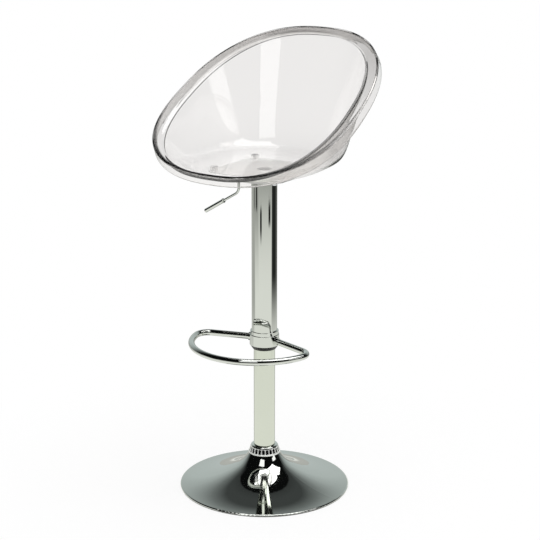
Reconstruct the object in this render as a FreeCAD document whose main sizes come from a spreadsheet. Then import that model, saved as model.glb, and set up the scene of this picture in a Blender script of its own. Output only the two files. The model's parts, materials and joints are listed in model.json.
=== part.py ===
import FreeCAD, Part
import math
import os

import Sketcher
from FreeCAD import Placement, Rotation, Vector

# An adjustable bar stool: trumpet base, gas-lift column, footrest loop and a clear bucket seat.
# Z is up, the floor is at Z = 0, the column stands on the Z axis and the sitter faces -Y.

# Driving dimensions in millimetres, angles in degrees, in the order of the pieces from the floor up
DIMENSIONS = {
    "base_diameter": 408,
    "dish_wall": 2,
    "rim_round": 3,
    "rim_slope": 5,
    "waist_slope": 30,
    "neck_slope": 66,
    "neck_curve": 79,
    "neck_radius": 38,
    "neck_level": 83,
    "floor_pad": 2,
    "pad_inner_radius": 190,
    "pad_upstand": 1.6,
    "ballast_radius": 150,
    "ballast_bore": 14,
    "ballast_level": 5,
    "ballast_thickness": 6,
    "socket_wall": 5.5,
    "socket_flange_radius": 62,
    "socket_flange": 4,
    "socket_top": 77,
    "socket_screw_circle": 47,
    "small_screw_radius": 3,
    "small_head_radius": 5.5,
    "small_head": 3.4,
    "trim_foot_radius": 38.5,
    "trim_top_radius": 29.8,
    "trim_height": 19.5,
    "trim_lip": 3.2,
    "trim_wall": 2.6,
    "trim_shoulder": 4.6,
    "trim_shoulder_radius": 33.2,
    "flute_count": 24,
    "flute_width": 6,
    "flute_depth": 1.7,
    "stand_radius": 25.4,
    "stand_wall": 2,
    "stand_top": 480,
    "foot_thickness": 6,
    "rod_radius": 5,
    "running_gap": 0.05,
    "rod_below_foot": 5,
    "clip_thickness": 1.5,
    "clip_radius": 9,
    "clip_groove_radius": 3.8,
    "race_radius": 14,
    "race_thickness": 2,
    "ball_radius": 1.6,
    "ball_circle": 10,
    "ball_count": 10,
    "cage_half_width": 2.6,
    "cage_thickness": 1.4,
    "bumper_radius": 12,
    "bumper_height": 14,
    "lift_stroke": 210,
    "stroke_reserve": 8,
    "cylinder_radius": 14,
    "cylinder_bore": 12,
    "gland_height": 20,
    "piston_height": 16,
    "head_taper": 0.8,
    "hub_radius": 24,
    "hub_height": 30,
    "button_radius": 4,
    "button_rise": 5.8,
    "button_depth": 12,
    "bush_length": 40,
    "bush_flange": 4,
    "sleeve_radius": 30,
    "sleeve_wall": 2,
    "sleeve_foot": 356,
    "column_top": 752,
    "sleeve_bush_length": 28,
    "spacer_height": 15,
    "bush_nose_radius": 27.6,
    "bush_nose_level": 345.6,
    "collar_radius": 35,
    "collar_round": 1,
    "collar_seam": 382,
    "collar_band_radius": 33.6,
    "collar_band_top": 391,
    "shield_top": 416,
    "shield_radius": 32.2,
    "shield_half_angle": 46,
    "shield_turn": 18,
    "shield_bead": 3,
    "footrest_level": 369,
    "footrest_tube_radius": 7.5,
    "footrest_tube_wall": 1.5,
    "footrest_front_radius": 154.5,
    "footrest_front_centre": -31,
    "footrest_front_half_angle": 76,
    "footrest_corner_radius": 30,
    "footrest_sweep": 17,
    "footrest_root": 32,
    "boss_radius": 9.8,
    "boss_length": 9,
    "set_screw_angle": 24,
    "plate_side": 200,
    "plate_thickness": 4,
    "plate_corner": 18,
    "plate_level": 771,
    "plate_bore": 17,
    "bolt_spacing": 166,
    "bolt_radius": 3,
    "bolt_clearance": 0.3,
    "bolt_head_radius": 6,
    "bolt_head": 4,
    "bolt_length": 13.6,
    "washer_radius": 8,
    "washer_thickness": 1.6,
    "insert_radius": 5,
    "insert_length": 8.5,
    "housing_side": 84,
    "housing_wall": 3,
    "housing_corner": 10,
    "lever_slot_width": 9,
    "lever_level": 761,
    "lever_radius": 3,
    "lever_pin_x": -30,
    "lever_pin_level": 766.4,
    "lever_pin_radius": 1.5,
    "cradle_length": 14,
    "cradle_width": 16,
    "lever_inner_end": 3,
    "lever_drop_x": -72,
    "lever_upper_bend": 9,
    "lever_lower_bend": 12,
    "lever_drop_end": 722.5,
    "lever_fall": 31,
    "lever_run": 105,
    "grip_length": 63,
    "grip_radius": 4.9,
    "grip_collar_radius": 5.5,
    "grip_collar": 3,
    "seat_floor_level": 790,
    "seat_wall": 5,
    "seat_floor_half_side": 95,
    "seat_floor_fullness": 5,
    "seat_corner_spread": 0.6,
    "seat_corner_rise": 0.02,
    "seat_corner_weight": 4,
    "seat_boss_radius": 9,
    "rim_tilt": 31,
    "rim_centre_y": 9,
    "rim_centre_level": 940,
    "rim_half_width": 251,
    "rim_half_length": 277,
    "rim_fullness": 2.4,
    "rim_taper": 0.06,
    "lip_at_sides": 34,
    "lip_at_ends": 20,
    "lip_drop": 9,
    "skirt_height": 25,
    "skirt_flare": 2.5,
    "crest_round": 3,
}

doc = FreeCAD.newDocument("BarStool")
sheet = doc.addObject("Spreadsheet::Sheet", "sizes")
for row, (alias, amount) in enumerate(DIMENSIONS.items(), start=1):
    sheet.set(f"A{row}", alias)
    sheet.set(f"B{row}", str(amount))
    sheet.setAlias(f"B{row}", alias)
doc.recompute()


class Size:
    """A number that keeps the sheet formula it comes from, so that it can be drawn and bound."""

    def __init__(self, value, formula):
        self.value = float(value)
        self.formula = formula

    def __add__(self, other):
        return Size(self.value + number(other), f"({self.formula} + {formula(other)})")

    def __sub__(self, other):
        return Size(self.value - number(other), f"({self.formula} - {formula(other)})")

    def __mul__(self, other):
        return Size(self.value * number(other), f"({self.formula} * {formula(other)})")

    def __truediv__(self, other):
        return Size(self.value / number(other), f"({self.formula} / {formula(other)})")

    def __neg__(self):
        return Size(-self.value, f"(0 - {self.formula})")


def number(size):
    return size.value if isinstance(size, Size) else float(size)


def formula(size):
    return size.formula if isinstance(size, Size) else str(size)


def sine(angle):
    return Size(math.sin(math.radians(angle.value)), f"sin({angle.formula} * 1 deg)")


def cosine(angle):
    return Size(math.cos(math.radians(angle.value)), f"cos({angle.formula} * 1 deg)")


class Dimensions:
    """Reads a cell of the sheet by its alias."""

    def __getattr__(self, alias):
        return Size(sheet.get(alias), f"{sheet.Name}.{alias}")


dim = Dimensions()


def bind(thing, name, size):
    """Ties a property to the sheet."""
    thing.setExpression(name, formula(size))


# Levels and radii that follow from the driving dimensions
zero = Size(0, "0")
base_radius = dim.base_diameter / 2
ballast_top = dim.ballast_level + dim.ballast_thickness
foot_top = ballast_top + dim.foot_thickness
balls_level = foot_top + dim.race_thickness + dim.ball_radius
upper_race_level = balls_level + dim.ball_radius + dim.running_gap * 2
bumper_level = upper_race_level + dim.race_thickness
bumper_top = bumper_level + dim.bumper_height
cylinder_foot = bumper_top + dim.lift_stroke + dim.stroke_reserve
piston_level = cylinder_foot + dim.gland_height + dim.running_gap * 20
hub_foot = dim.column_top - dim.hub_height
stand_bore = dim.stand_radius - dim.stand_wall
sleeve_bore = dim.sleeve_radius - dim.sleeve_wall
plate_top = dim.plate_level + dim.plate_thickness
bolt_offset = dim.bolt_spacing / 2


class Arc:
    """A rounded stretch of an outline: its end point, radius and turning sense."""

    def __init__(self, across, up, radius, left=True):
        self.across = across
        self.up = up
        self.radius = radius
        self.left = left


def new_body(name):
    body = doc.addObject("PartDesign::Body", name)
    body.Label = name
    return body


def origin_item(body, role):
    return next(item for item in body.Origin.OriginFeatures if item.Role == role)


def new_sketch(body, plane, offset=None):
    """A sketch on one of the body's own planes, moved along its normal by offset."""
    sketch = body.newObject("Sketcher::SketchObject", f"{body.Name}_sketch")
    sketch.AttachmentSupport = [(origin_item(body, plane), "")]
    sketch.MapMode = "FlatFace"
    if offset is not None:
        bind(sketch, "AttachmentOffset.Base.z", offset)
    return sketch


def fix_point(sketch, geometry, end, across, up):
    """Holds one end of a curve at sheet coordinates."""
    for kind, axis, size in (("DistanceX", -2, across), ("DistanceY", -1, up)):
        if number(size) == 0:
            sketch.addConstraint(Sketcher.Constraint("PointOnObject", geometry, end, axis))
            continue
        index = sketch.addConstraint(Sketcher.Constraint(kind, geometry, end, number(size)))
        sketch.setExpression(f"Constraints[{index}]", formula(size))


def arc_curve(start, stop, radius, left):
    """The arc of less than half a turn from start to stop, with its centre on the left or right."""
    chord = stop - start
    side = Vector(-chord.y, chord.x, 0).normalize()
    rise = math.sqrt(max(radius**2 - (chord.Length / 2) ** 2, 0))
    centre = (start + stop) / 2 + side * (rise if left else -rise)
    first = start if left else stop
    last = stop if left else start
    angles = [math.atan2(point.y - centre.y, point.x - centre.x) for point in (first, last)]
    return Part.ArcOfCircle(Part.Circle(centre, Vector(0, 0, 1), radius), *angles)


def draw_outline(sketch, outline, closed=True):
    """Draws lines and arcs through the outline's points, each held at its sheet coordinates."""
    corners = [(p.across, p.up) if isinstance(p, Arc) else p for p in outline]
    spots = [Vector(number(across), number(up), 0) for across, up in corners]
    count = len(outline)
    curves = []
    for index in range(count if closed else count - 1):
        after = (index + 1) % count
        target = outline[after]
        if isinstance(target, Arc):
            shape = arc_curve(spots[index], spots[after], number(target.radius), target.left)
            curve = sketch.addGeometry(shape, False)
            tail, head = (1, 2) if target.left else (2, 1)
            size = Sketcher.Constraint("Radius", curve, number(target.radius))
            sketch.setExpression(f"Constraints[{sketch.addConstraint(size)}]", formula(target.radius))
        else:
            curve = sketch.addGeometry(Part.LineSegment(spots[index], spots[after]), False)
            tail, head = 1, 2
        curves.append((curve, tail, head))
        if index:
            before, _, joint = curves[index - 1]
            sketch.addConstraint(Sketcher.Constraint("Coincident", before, joint, curve, tail))
    if closed:
        last, _, joint = curves[-1]
        sketch.addConstraint(Sketcher.Constraint("Coincident", last, joint, curves[0][0], curves[0][1]))
    for (curve, tail, _), corner in zip(curves, corners):
        fix_point(sketch, curve, tail, *corner)
    if not closed:
        fix_point(sketch, curves[-1][0], curves[-1][2], *corners[-1])


def draw_circle(sketch, across, up, radius):
    circle = Part.Circle(Vector(number(across), number(up), 0), Vector(0, 0, 1), number(radius))
    curve = sketch.addGeometry(circle, False)
    index = sketch.addConstraint(Sketcher.Constraint("Radius", curve, number(radius)))
    sketch.setExpression(f"Constraints[{index}]", formula(radius))
    fix_point(sketch, curve, 3, across, up)


def rectangle(left, bottom, right, top):
    return [(left, bottom), (right, bottom), (right, top), (left, top)]


def revolve(body, outline):
    """Turns an outline of (radius, height) points around the vertical axis."""
    sketch = new_sketch(body, "XZ_Plane")
    draw_outline(sketch, outline)
    turned = body.newObject("PartDesign::Revolution", f"{body.Name}_turned")
    turned.Profile = sketch
    turned.ReferenceAxis = (sketch, ["V_Axis"])
    turned.Angle = 360
    return turned


def turned_part(name, outline):
    body = new_body(name)
    revolve(body, outline)
    return body


def ring_part(name, inner, outer, bottom, top):
    """A plain ring or tube."""
    return turned_part(name, rectangle(inner, bottom, outer, top))


def pad(body, sketch, length, reverse=False):
    feature = body.newObject("PartDesign::Pad", f"{body.Name}_pad")
    feature.Profile = sketch
    feature.Reversed = reverse
    bind(feature, "Length", length)
    return feature


def pocket(body, sketch, length, reverse=False):
    feature = body.newObject("PartDesign::Pocket", f"{body.Name}_pocket")
    feature.Profile = sketch
    feature.Reversed = reverse
    bind(feature, "Length", length)
    return feature


def around(body, feature, count):
    """Repeats a feature evenly around the vertical axis."""
    pattern = body.newObject("PartDesign::PolarPattern", f"{body.Name}_around")
    pattern.Originals = [feature]
    pattern.Axis = (origin_item(body, "Z_Axis"), [""])
    pattern.Angle = 360
    pattern.Occurrences = int(number(count))
    if isinstance(count, Size):
        bind(pattern, "Occurrences", count)
    body.Tip = pattern
    return pattern


def screw_group(name, across, deep, outline, count=4):
    """Equal turned pieces around the column: one outline about an upright line, repeated."""
    body = new_body(name)
    sketch = new_sketch(body, "XZ_Plane", -deep)
    draw_outline(sketch, [(across + radius, up) for radius, up in outline])
    foot = Vector(number(across), 0, 0)
    axis = sketch.addGeometry(Part.LineSegment(foot, foot + Vector(0, 1, 0)), True)
    fix_point(sketch, axis, 1, across, 0)
    sketch.addConstraint(Sketcher.Constraint("Vertical", axis))
    turned = body.newObject("PartDesign::Revolution", f"{name}_turned")
    turned.Profile = sketch
    turned.ReferenceAxis = (sketch, ["Axis0"])
    turned.Angle = 360
    around(body, turned, count)
    return body


def pipe(body, path_sketch, edges, profile_sketch):
    feature = body.newObject("PartDesign::AdditivePipe", f"{body.Name}_pipe")
    feature.Profile = profile_sketch
    feature.Spine = (path_sketch, [f"Edge{index}" for index in range(1, edges + 1)])
    return feature


# The base


def flare(depth):
    """The neck, waist and shoulder points of the trumpet at a depth below its skin, and its radii."""
    waist_radius = dim.neck_radius + dim.neck_curve * (sine(dim.neck_slope) - sine(dim.waist_slope))
    waist_level = dim.neck_level - dim.neck_curve * (cosine(dim.waist_slope) - cosine(dim.neck_slope))
    shoulder_radius = base_radius - dim.rim_round + dim.rim_round * sine(dim.rim_slope)
    sweep = (shoulder_radius - waist_radius) / (sine(dim.waist_slope) - sine(dim.rim_slope))
    shoulder_level = waist_level - sweep * (cosine(dim.rim_slope) - cosine(dim.waist_slope))
    skin = [
        (dim.neck_radius, dim.neck_level, dim.neck_slope),
        (waist_radius, waist_level, dim.waist_slope),
        (shoulder_radius, shoulder_level, dim.rim_slope),
    ]
    points = [(across - sine(slope) * depth, up - cosine(slope) * depth) for across, up, slope in skin]
    return points, dim.neck_curve + depth, sweep + depth


def base_dish():
    (neck, waist, shoulder), tight, wide = flare(0)
    (inner_neck, inner_waist, inner_shoulder), inner_tight, inner_wide = flare(dim.dish_wall)
    edge_level = shoulder[1] - dim.rim_round * cosine(dim.rim_slope)
    outline = [
        neck,
        Arc(*waist, tight),
        Arc(*shoulder, wide),
        Arc(base_radius, edge_level, dim.rim_round, left=False),
        (base_radius, dim.floor_pad),
        (base_radius - dim.dish_wall, dim.floor_pad),
        inner_shoulder,
        Arc(*inner_waist, inner_wide, left=False),
        Arc(*inner_neck, inner_tight, left=False),
    ]
    return turned_part("base_dish", outline)


def floor_ring():
    rim_inside = base_radius - dim.dish_wall
    pad_top = dim.floor_pad + dim.pad_upstand
    outline = [
        (dim.pad_inner_radius, 0),
        (base_radius - dim.dish_wall / 2, 0),
        (base_radius - dim.dish_wall / 2, dim.floor_pad),
        (rim_inside, dim.floor_pad),
        (rim_inside - dim.pad_upstand, pad_top),
        (dim.pad_inner_radius, pad_top),
    ]
    return turned_part("floor_ring", outline)


def ballast_plate():
    bottom = dim.ballast_level
    body = ring_part("ballast_plate", dim.ballast_bore, dim.ballast_radius, bottom, ballast_top)
    sketch = new_sketch(body, "XY_Plane", bottom)
    draw_circle(sketch, dim.socket_screw_circle, 0, dim.small_screw_radius + dim.bolt_clearance)
    around(body, pocket(body, sketch, dim.ballast_thickness, reverse=True), 4)
    return body


def column_socket():
    inner = dim.stand_radius
    outer = inner + dim.socket_wall
    flange_top = ballast_top + dim.socket_flange
    outline = [
        (inner, ballast_top),
        (dim.socket_flange_radius, ballast_top),
        (dim.socket_flange_radius, flange_top),
        (outer, flange_top),
        (outer, dim.socket_top),
        (inner, dim.socket_top),
    ]
    body = turned_part("column_socket", outline)
    sketch = new_sketch(body, "XY_Plane", ballast_top)
    draw_circle(sketch, dim.socket_screw_circle, 0, dim.small_screw_radius)
    around(body, pocket(body, sketch, dim.socket_flange, reverse=True), 4)
    return body


def socket_screws():
    head_level = dim.ballast_level - dim.small_head
    screw_top = ballast_top + dim.socket_flange
    outline = [
        (zero, head_level),
        (dim.small_head_radius, head_level),
        (dim.small_head_radius, dim.ballast_level),
        (dim.small_screw_radius, dim.ballast_level),
        (dim.small_screw_radius, screw_top),
        (zero, screw_top),
    ]
    return screw_group("socket_screws", dim.socket_screw_circle, zero, outline)


def trim_ring():
    foot = dim.neck_level
    top = foot + dim.trim_height
    lip_top = foot + dim.trim_lip
    band_foot = dim.trim_foot_radius - dim.trim_lip / 2
    band_head = dim.trim_shoulder_radius
    head_level = top - dim.trim_shoulder
    bore = dim.stand_radius + dim.running_gap * 2
    outline = [
        (dim.trim_foot_radius - dim.trim_lip * 1.2, foot),
        (dim.trim_foot_radius, foot),
        (dim.trim_foot_radius, foot + dim.trim_lip / 2),
        Arc(band_foot, lip_top, dim.trim_lip / 2),
        (band_head, head_level),
        Arc(dim.trim_top_radius, top, dim.trim_shoulder * 1.3),
        (bore, top),
        (bore, top - dim.trim_wall),
        (dim.trim_top_radius - dim.trim_wall / 2, top - dim.trim_wall),
        (band_head - dim.trim_wall, head_level),
        (band_foot - dim.trim_wall, lip_top),
    ]
    body = turned_part("trim_ring", outline)
    slant = math.degrees(math.atan2(number(band_foot - band_head), number(head_level - lip_top)))
    sketch = new_sketch(body, "YZ_Plane")
    half = dim.flute_width / 2
    rise = (head_level - lip_top) * 0.94
    outline = [
        (-half, -rise / 2),
        (half, -rise / 2),
        (half, rise / 2 - half),
        Arc(-half, rise / 2 - half, dim.flute_width * 0.6),
    ]
    draw_outline(sketch, outline)
    middle = Vector(0, number(lip_top + head_level) / 2, number(band_foot + band_head) / 2)
    sketch.AttachmentOffset = Placement(middle, Rotation(Vector(1, 0, 0), -slant))
    flute = pocket(body, sketch, dim.flute_depth * 2)
    flute.Midplane = True
    around(body, flute, dim.flute_count)
    return body


# The column: stand tube, swivel bearing and gas spring


def stand_tube():
    return ring_part("stand_tube", stand_bore, dim.stand_radius, ballast_top, dim.stand_top)


def tube_foot():
    return ring_part("tube_foot", dim.rod_radius + dim.running_gap, stand_bore, ballast_top, foot_top)


def lower_race():
    bore = dim.rod_radius + dim.running_gap * 4
    return ring_part("lower_race", bore, dim.race_radius, foot_top, foot_top + dim.race_thickness)


def bearing_balls():
    balls = []
    for index in range(int(dim.ball_count.value)):
        ball = doc.addObject("Part::Sphere", "bearing_ball")
        bind(ball, "Radius", dim.ball_radius)
        angle = Size(360 * index, str(360 * index)) / dim.ball_count
        bind(ball, "Placement.Base.x", dim.ball_circle * cosine(angle))
        bind(ball, "Placement.Base.y", dim.ball_circle * sine(angle))
        bind(ball, "Placement.Base.z", balls_level)
        balls.append(ball)
    group = doc.addObject("Part::Compound", "bearing_balls")
    group.Label = "bearing_balls"
    group.Links = balls
    return group


def bearing_cage():
    bottom = balls_level - dim.cage_thickness / 2
    inner = dim.ball_circle - dim.cage_half_width
    outer = dim.ball_circle + dim.cage_half_width
    body = ring_part("bearing_cage", inner, outer, bottom, bottom + dim.cage_thickness)
    sketch = new_sketch(body, "XY_Plane", bottom)
    draw_circle(sketch, dim.ball_circle, 0, dim.ball_radius + dim.running_gap)
    around(body, pocket(body, sketch, dim.cage_thickness, reverse=True), dim.ball_count)
    return body


def upper_race():
    top = upper_race_level + dim.race_thickness
    return ring_part("upper_race", dim.rod_radius, dim.race_radius, upper_race_level, top)


def rod_clip():
    top = ballast_top - dim.running_gap * 6
    bottom = top - dim.clip_thickness
    body = ring_part("rod_clip", dim.clip_groove_radius, dim.clip_radius, bottom, top)
    sketch = new_sketch(body, "XY_Plane", bottom)
    half = dim.clip_groove_radius * 0.9
    draw_outline(sketch, rectangle(0, -half, dim.clip_radius * 1.1, half))
    pocket(body, sketch, dim.clip_thickness, reverse=True)
    return body


def piston_rod():
    clip_top = ballast_top - dim.running_gap * 6
    clip_bottom = clip_top - dim.clip_thickness
    piston_radius = dim.cylinder_bore - dim.running_gap
    piston_top = piston_level + dim.piston_height
    outline = [
        (0, ballast_top - dim.rod_below_foot),
        (dim.rod_radius, ballast_top - dim.rod_below_foot),
        (dim.rod_radius, clip_bottom),
        (dim.clip_groove_radius, clip_bottom),
        (dim.clip_groove_radius, clip_top),
        (dim.rod_radius, clip_top),
        (dim.rod_radius, piston_level),
        (piston_radius, piston_level),
        (piston_radius, piston_top),
        (0, piston_top),
    ]
    return turned_part("piston_rod", outline)


def rod_bumper():
    shoulder = bumper_top - dim.bumper_height / 3
    outline = [
        (dim.rod_radius, bumper_level),
        (dim.bumper_radius, bumper_level),
        (dim.bumper_radius, shoulder),
        (dim.rod_radius * 1.6, bumper_top),
        (dim.rod_radius, bumper_top),
    ]
    return turned_part("rod_bumper", outline)


def gas_cylinder():
    gland_top = cylinder_foot + dim.gland_height
    valve_bore = dim.button_radius + dim.running_gap
    valve_floor = dim.column_top - dim.button_depth
    outline = [
        (dim.rod_radius + dim.running_gap, cylinder_foot),
        (dim.cylinder_radius, cylinder_foot),
        (dim.cylinder_radius, hub_foot),
        (dim.cylinder_radius - dim.head_taper, dim.column_top),
        (valve_bore, dim.column_top),
        (valve_bore, valve_floor),
        (0, valve_floor),
        (0, hub_foot),
        (dim.cylinder_bore, hub_foot),
        (dim.cylinder_bore, gland_top),
        (dim.rod_radius + dim.running_gap, gland_top),
    ]
    return turned_part("gas_cylinder", outline)


def valve_button():
    bottom = dim.column_top - dim.button_depth / 2
    crown = dim.column_top + dim.button_rise
    dome = dim.button_radius * 1.5
    shoulder = crown - dome + Size(math.sqrt(1.25), "sqrt(1.25)") * dim.button_radius
    outline = [
        (0, bottom),
        (dim.button_radius, bottom),
        (dim.button_radius, shoulder),
        Arc(0, crown, dome),
    ]
    return turned_part("valve_button", outline)


def guide_bush():
    bore = dim.cylinder_radius + dim.running_gap
    flange_top = dim.stand_top + dim.bush_flange
    outline = [
        (bore, dim.stand_top - dim.bush_length),
        (stand_bore, dim.stand_top - dim.bush_length),
        (stand_bore, dim.stand_top),
        (dim.stand_radius, dim.stand_top),
        (dim.stand_radius, flange_top),
        (bore, flange_top),
    ]
    return turned_part("guide_bush", outline)


# The sleeve and the footrest


def sleeve_tube():
    return ring_part("sleeve_tube", sleeve_bore, dim.sleeve_radius, dim.sleeve_foot, dim.column_top)


def sleeve_bush():
    """A guide in the sleeve's mouth, with a tapered flange that closes the collar from below."""
    bore = dim.stand_radius + dim.running_gap
    top = dim.sleeve_foot + dim.sleeve_bush_length
    outline = [
        (bore, dim.bush_nose_level),
        (dim.bush_nose_radius, dim.bush_nose_level),
        (dim.collar_radius, dim.sleeve_foot),
        (sleeve_bore, dim.sleeve_foot),
        (sleeve_bore, top),
        (bore, top),
    ]
    return turned_part("sleeve_bush", outline)


def sleeve_spacer():
    top = dim.column_top - dim.housing_wall
    return ring_part("sleeve_spacer", dim.hub_radius, sleeve_bore, top - dim.spacer_height, top)


def arm_direction(side):
    """The unit vector along a footrest arm, away from the column."""
    return cosine(dim.footrest_sweep) * side, -sine(dim.footrest_sweep)


def footrest_path():
    """The loop's points from the right arm's root around the front to the left arm's root."""
    reach = dim.footrest_front_radius - dim.footrest_corner_radius
    half = dim.footrest_front_half_angle
    corner = (reach * sine(half), dim.footrest_front_centre - reach * cosine(half))
    bend_out = corner[0] + dim.footrest_corner_radius * sine(dim.footrest_sweep)
    bend_up = corner[1] + dim.footrest_corner_radius * cosine(dim.footrest_sweep)
    slope = sine(dim.footrest_sweep) / cosine(dim.footrest_sweep)
    root_up = bend_up + (bend_out - dim.footrest_root) * slope
    front_out = dim.footrest_front_radius * sine(half)
    front_up = dim.footrest_front_centre - dim.footrest_front_radius * cosine(half)
    front = dim.footrest_front_centre - dim.footrest_front_radius
    return [
        (dim.footrest_root, root_up),
        (bend_out, bend_up),
        Arc(front_out, front_up, dim.footrest_corner_radius, left=False),
        Arc(0, front, dim.footrest_front_radius, left=False),
        Arc(-front_out, front_up, dim.footrest_front_radius, left=False),
        Arc(-bend_out, bend_up, dim.footrest_corner_radius, left=False),
        (-dim.footrest_root, root_up),
    ]


def footrest_loop():
    body = new_body("footrest_loop")
    path = footrest_path()
    spine = new_sketch(body, "XY_Plane", dim.footrest_level)
    draw_outline(spine, path, closed=False)
    section = new_sketch(body, "YZ_Plane")
    root_out, root_up = path[0]
    place = Vector(number(root_up), number(dim.footrest_level), number(root_out))
    section.AttachmentOffset = Placement(place, Rotation(Vector(0, 1, 0), -dim.footrest_sweep.value))
    draw_circle(section, 0, 0, dim.footrest_tube_radius)
    draw_circle(section, 0, 0, dim.footrest_tube_radius - dim.footrest_tube_wall)
    pipe(body, spine, len(path) - 1, section)
    return body


def collar_shield(body):
    """The raised shield on the front of the collar: a curved plate with rounded upper corners."""
    plate = new_sketch(body, "XZ_Plane")
    inner, outer = dim.sleeve_radius, dim.shield_radius
    bead_foot = dim.shield_top - dim.shield_bead
    bead = outer + dim.shield_bead / 3
    outline = [
        (inner, dim.collar_band_top),
        (outer, dim.collar_band_top),
        (outer, bead_foot),
        (bead, bead_foot + dim.shield_bead / 3),
        (bead, dim.shield_top - dim.shield_bead / 3),
        (outer, dim.shield_top),
        (inner, dim.shield_top),
    ]
    draw_outline(plate, outline)
    shield = body.newObject("PartDesign::Revolution", "shield")
    shield.Profile = plate
    shield.ReferenceAxis = (plate, ["V_Axis"])
    shield.Midplane = True
    bind(shield, "Angle", dim.shield_half_angle * 2)
    return shield


def footrest_collar():
    """The collar is drawn with its shield towards +X and then turned to where the shield faces."""
    edge = dim.collar_round
    outline = [
        (dim.sleeve_radius, dim.sleeve_foot),
        (dim.collar_radius, dim.sleeve_foot),
        (dim.collar_radius, dim.collar_seam - edge),
        Arc(dim.collar_radius - edge, dim.collar_seam, edge),
        (dim.collar_band_radius, dim.collar_seam),
        (dim.collar_band_radius, dim.collar_band_top - edge),
        Arc(dim.collar_band_radius - edge, dim.collar_band_top, edge),
        (dim.sleeve_radius, dim.collar_band_top),
    ]
    body = turned_part("footrest_collar", outline)
    facing = 270 + dim.shield_turn.value
    body.Placement = Placement(Vector(0, 0, 0), Rotation(Vector(0, 0, 1), facing))
    collar_shield(body)
    trim_shield_corners(body)
    for side in (1, -1):
        add_arm_socket(body, side, facing)
    for side in (1, -1):
        drill_set_screw(body, side, facing)
    return body


def trim_shield_corners(body):
    """Slants and rounds the shield's two upper corners, seen from its front."""
    span = dim.shield_radius * sine(dim.shield_half_angle)
    rise = dim.shield_top - dim.collar_band_top
    lean = span * 0.2
    far = dim.shield_radius * 1.1
    for side in (1, -1):
        sketch = new_sketch(body, "YZ_Plane")
        foot = ((span + lean / 4) * side, dim.collar_band_top)
        shoulder = ((span - lean / 2) * side, dim.shield_top - rise / 4)
        crown = ((span - lean * 1.4) * side, dim.shield_top)
        outer_corners = [(far * side, dim.shield_top), (far * side, dim.collar_band_top)]
        draw_outline(sketch, [foot, shoulder, crown] + outer_corners)
        pocket(body, sketch, dim.shield_radius, reverse=True)


def add_arm_socket(body, side, facing):
    """A short socket along one footrest arm, open at its end for the tube."""
    out, forward = arm_direction(side)
    root_out, root_up = footrest_path()[0]
    heading = math.degrees(math.atan2(number(forward), number(out))) - facing
    start = Rotation(Vector(0, 0, 1), -facing) * Vector(number(root_out) * side, number(root_up), 0)
    start.z = dim.footrest_level.value
    along = Rotation(Vector(0, 0, 1), heading) * Rotation(Vector(0, 1, 0), 90)
    for radius, is_boss in ((dim.boss_radius, True), (dim.footrest_tube_radius, False)):
        sketch = new_sketch(body, "XY_Plane")
        sketch.AttachmentOffset = Placement(start, along)
        draw_circle(sketch, 0, 0, radius)
        if is_boss:
            pad(body, sketch, dim.boss_length)
        else:
            pocket(body, sketch, dim.boss_length, reverse=True)


def drill_set_screw(body, side, facing):
    """A threaded hole through the back of the cup."""
    sketch = new_sketch(body, "XY_Plane")
    heading = 90 + side * dim.set_screw_angle.value - facing
    along = Rotation(Vector(0, 0, 1), heading) * Rotation(Vector(0, 1, 0), 90)
    sketch.AttachmentOffset = Placement(Vector(0, 0, dim.footrest_level.value), along)
    draw_circle(sketch, 0, 0, dim.small_screw_radius)
    pocket(body, sketch, dim.collar_radius * 1.2, reverse=True)


def collar_screws():
    """Two set screws that clamp the collar on the sleeve."""
    screws = []
    for side in (1, -1):
        screw = doc.addObject("Part::Cylinder", "set_screw")
        bind(screw, "Radius", dim.small_screw_radius)
        bind(screw, "Height", dim.collar_radius - dim.sleeve_radius)
        heading = 90 + side * dim.set_screw_angle.value
        along = Rotation(Vector(0, 0, 1), heading) * Rotation(Vector(0, 1, 0), 90)
        start = along * Vector(0, 0, dim.sleeve_radius.value)
        screw.Placement = Placement(start + Vector(0, 0, dim.footrest_level.value), along)
        screws.append(screw)
    group = doc.addObject("Part::Compound", "collar_screws")
    group.Label = "collar_screws"
    group.Links = screws
    return group


# The mechanism under the seat


def taper_hub():
    outline = [
        (dim.cylinder_radius, hub_foot),
        (dim.hub_radius, hub_foot),
        (dim.hub_radius, dim.column_top),
        (dim.cylinder_radius - dim.head_taper, dim.column_top),
    ]
    return turned_part("taper_hub", outline)


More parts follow.
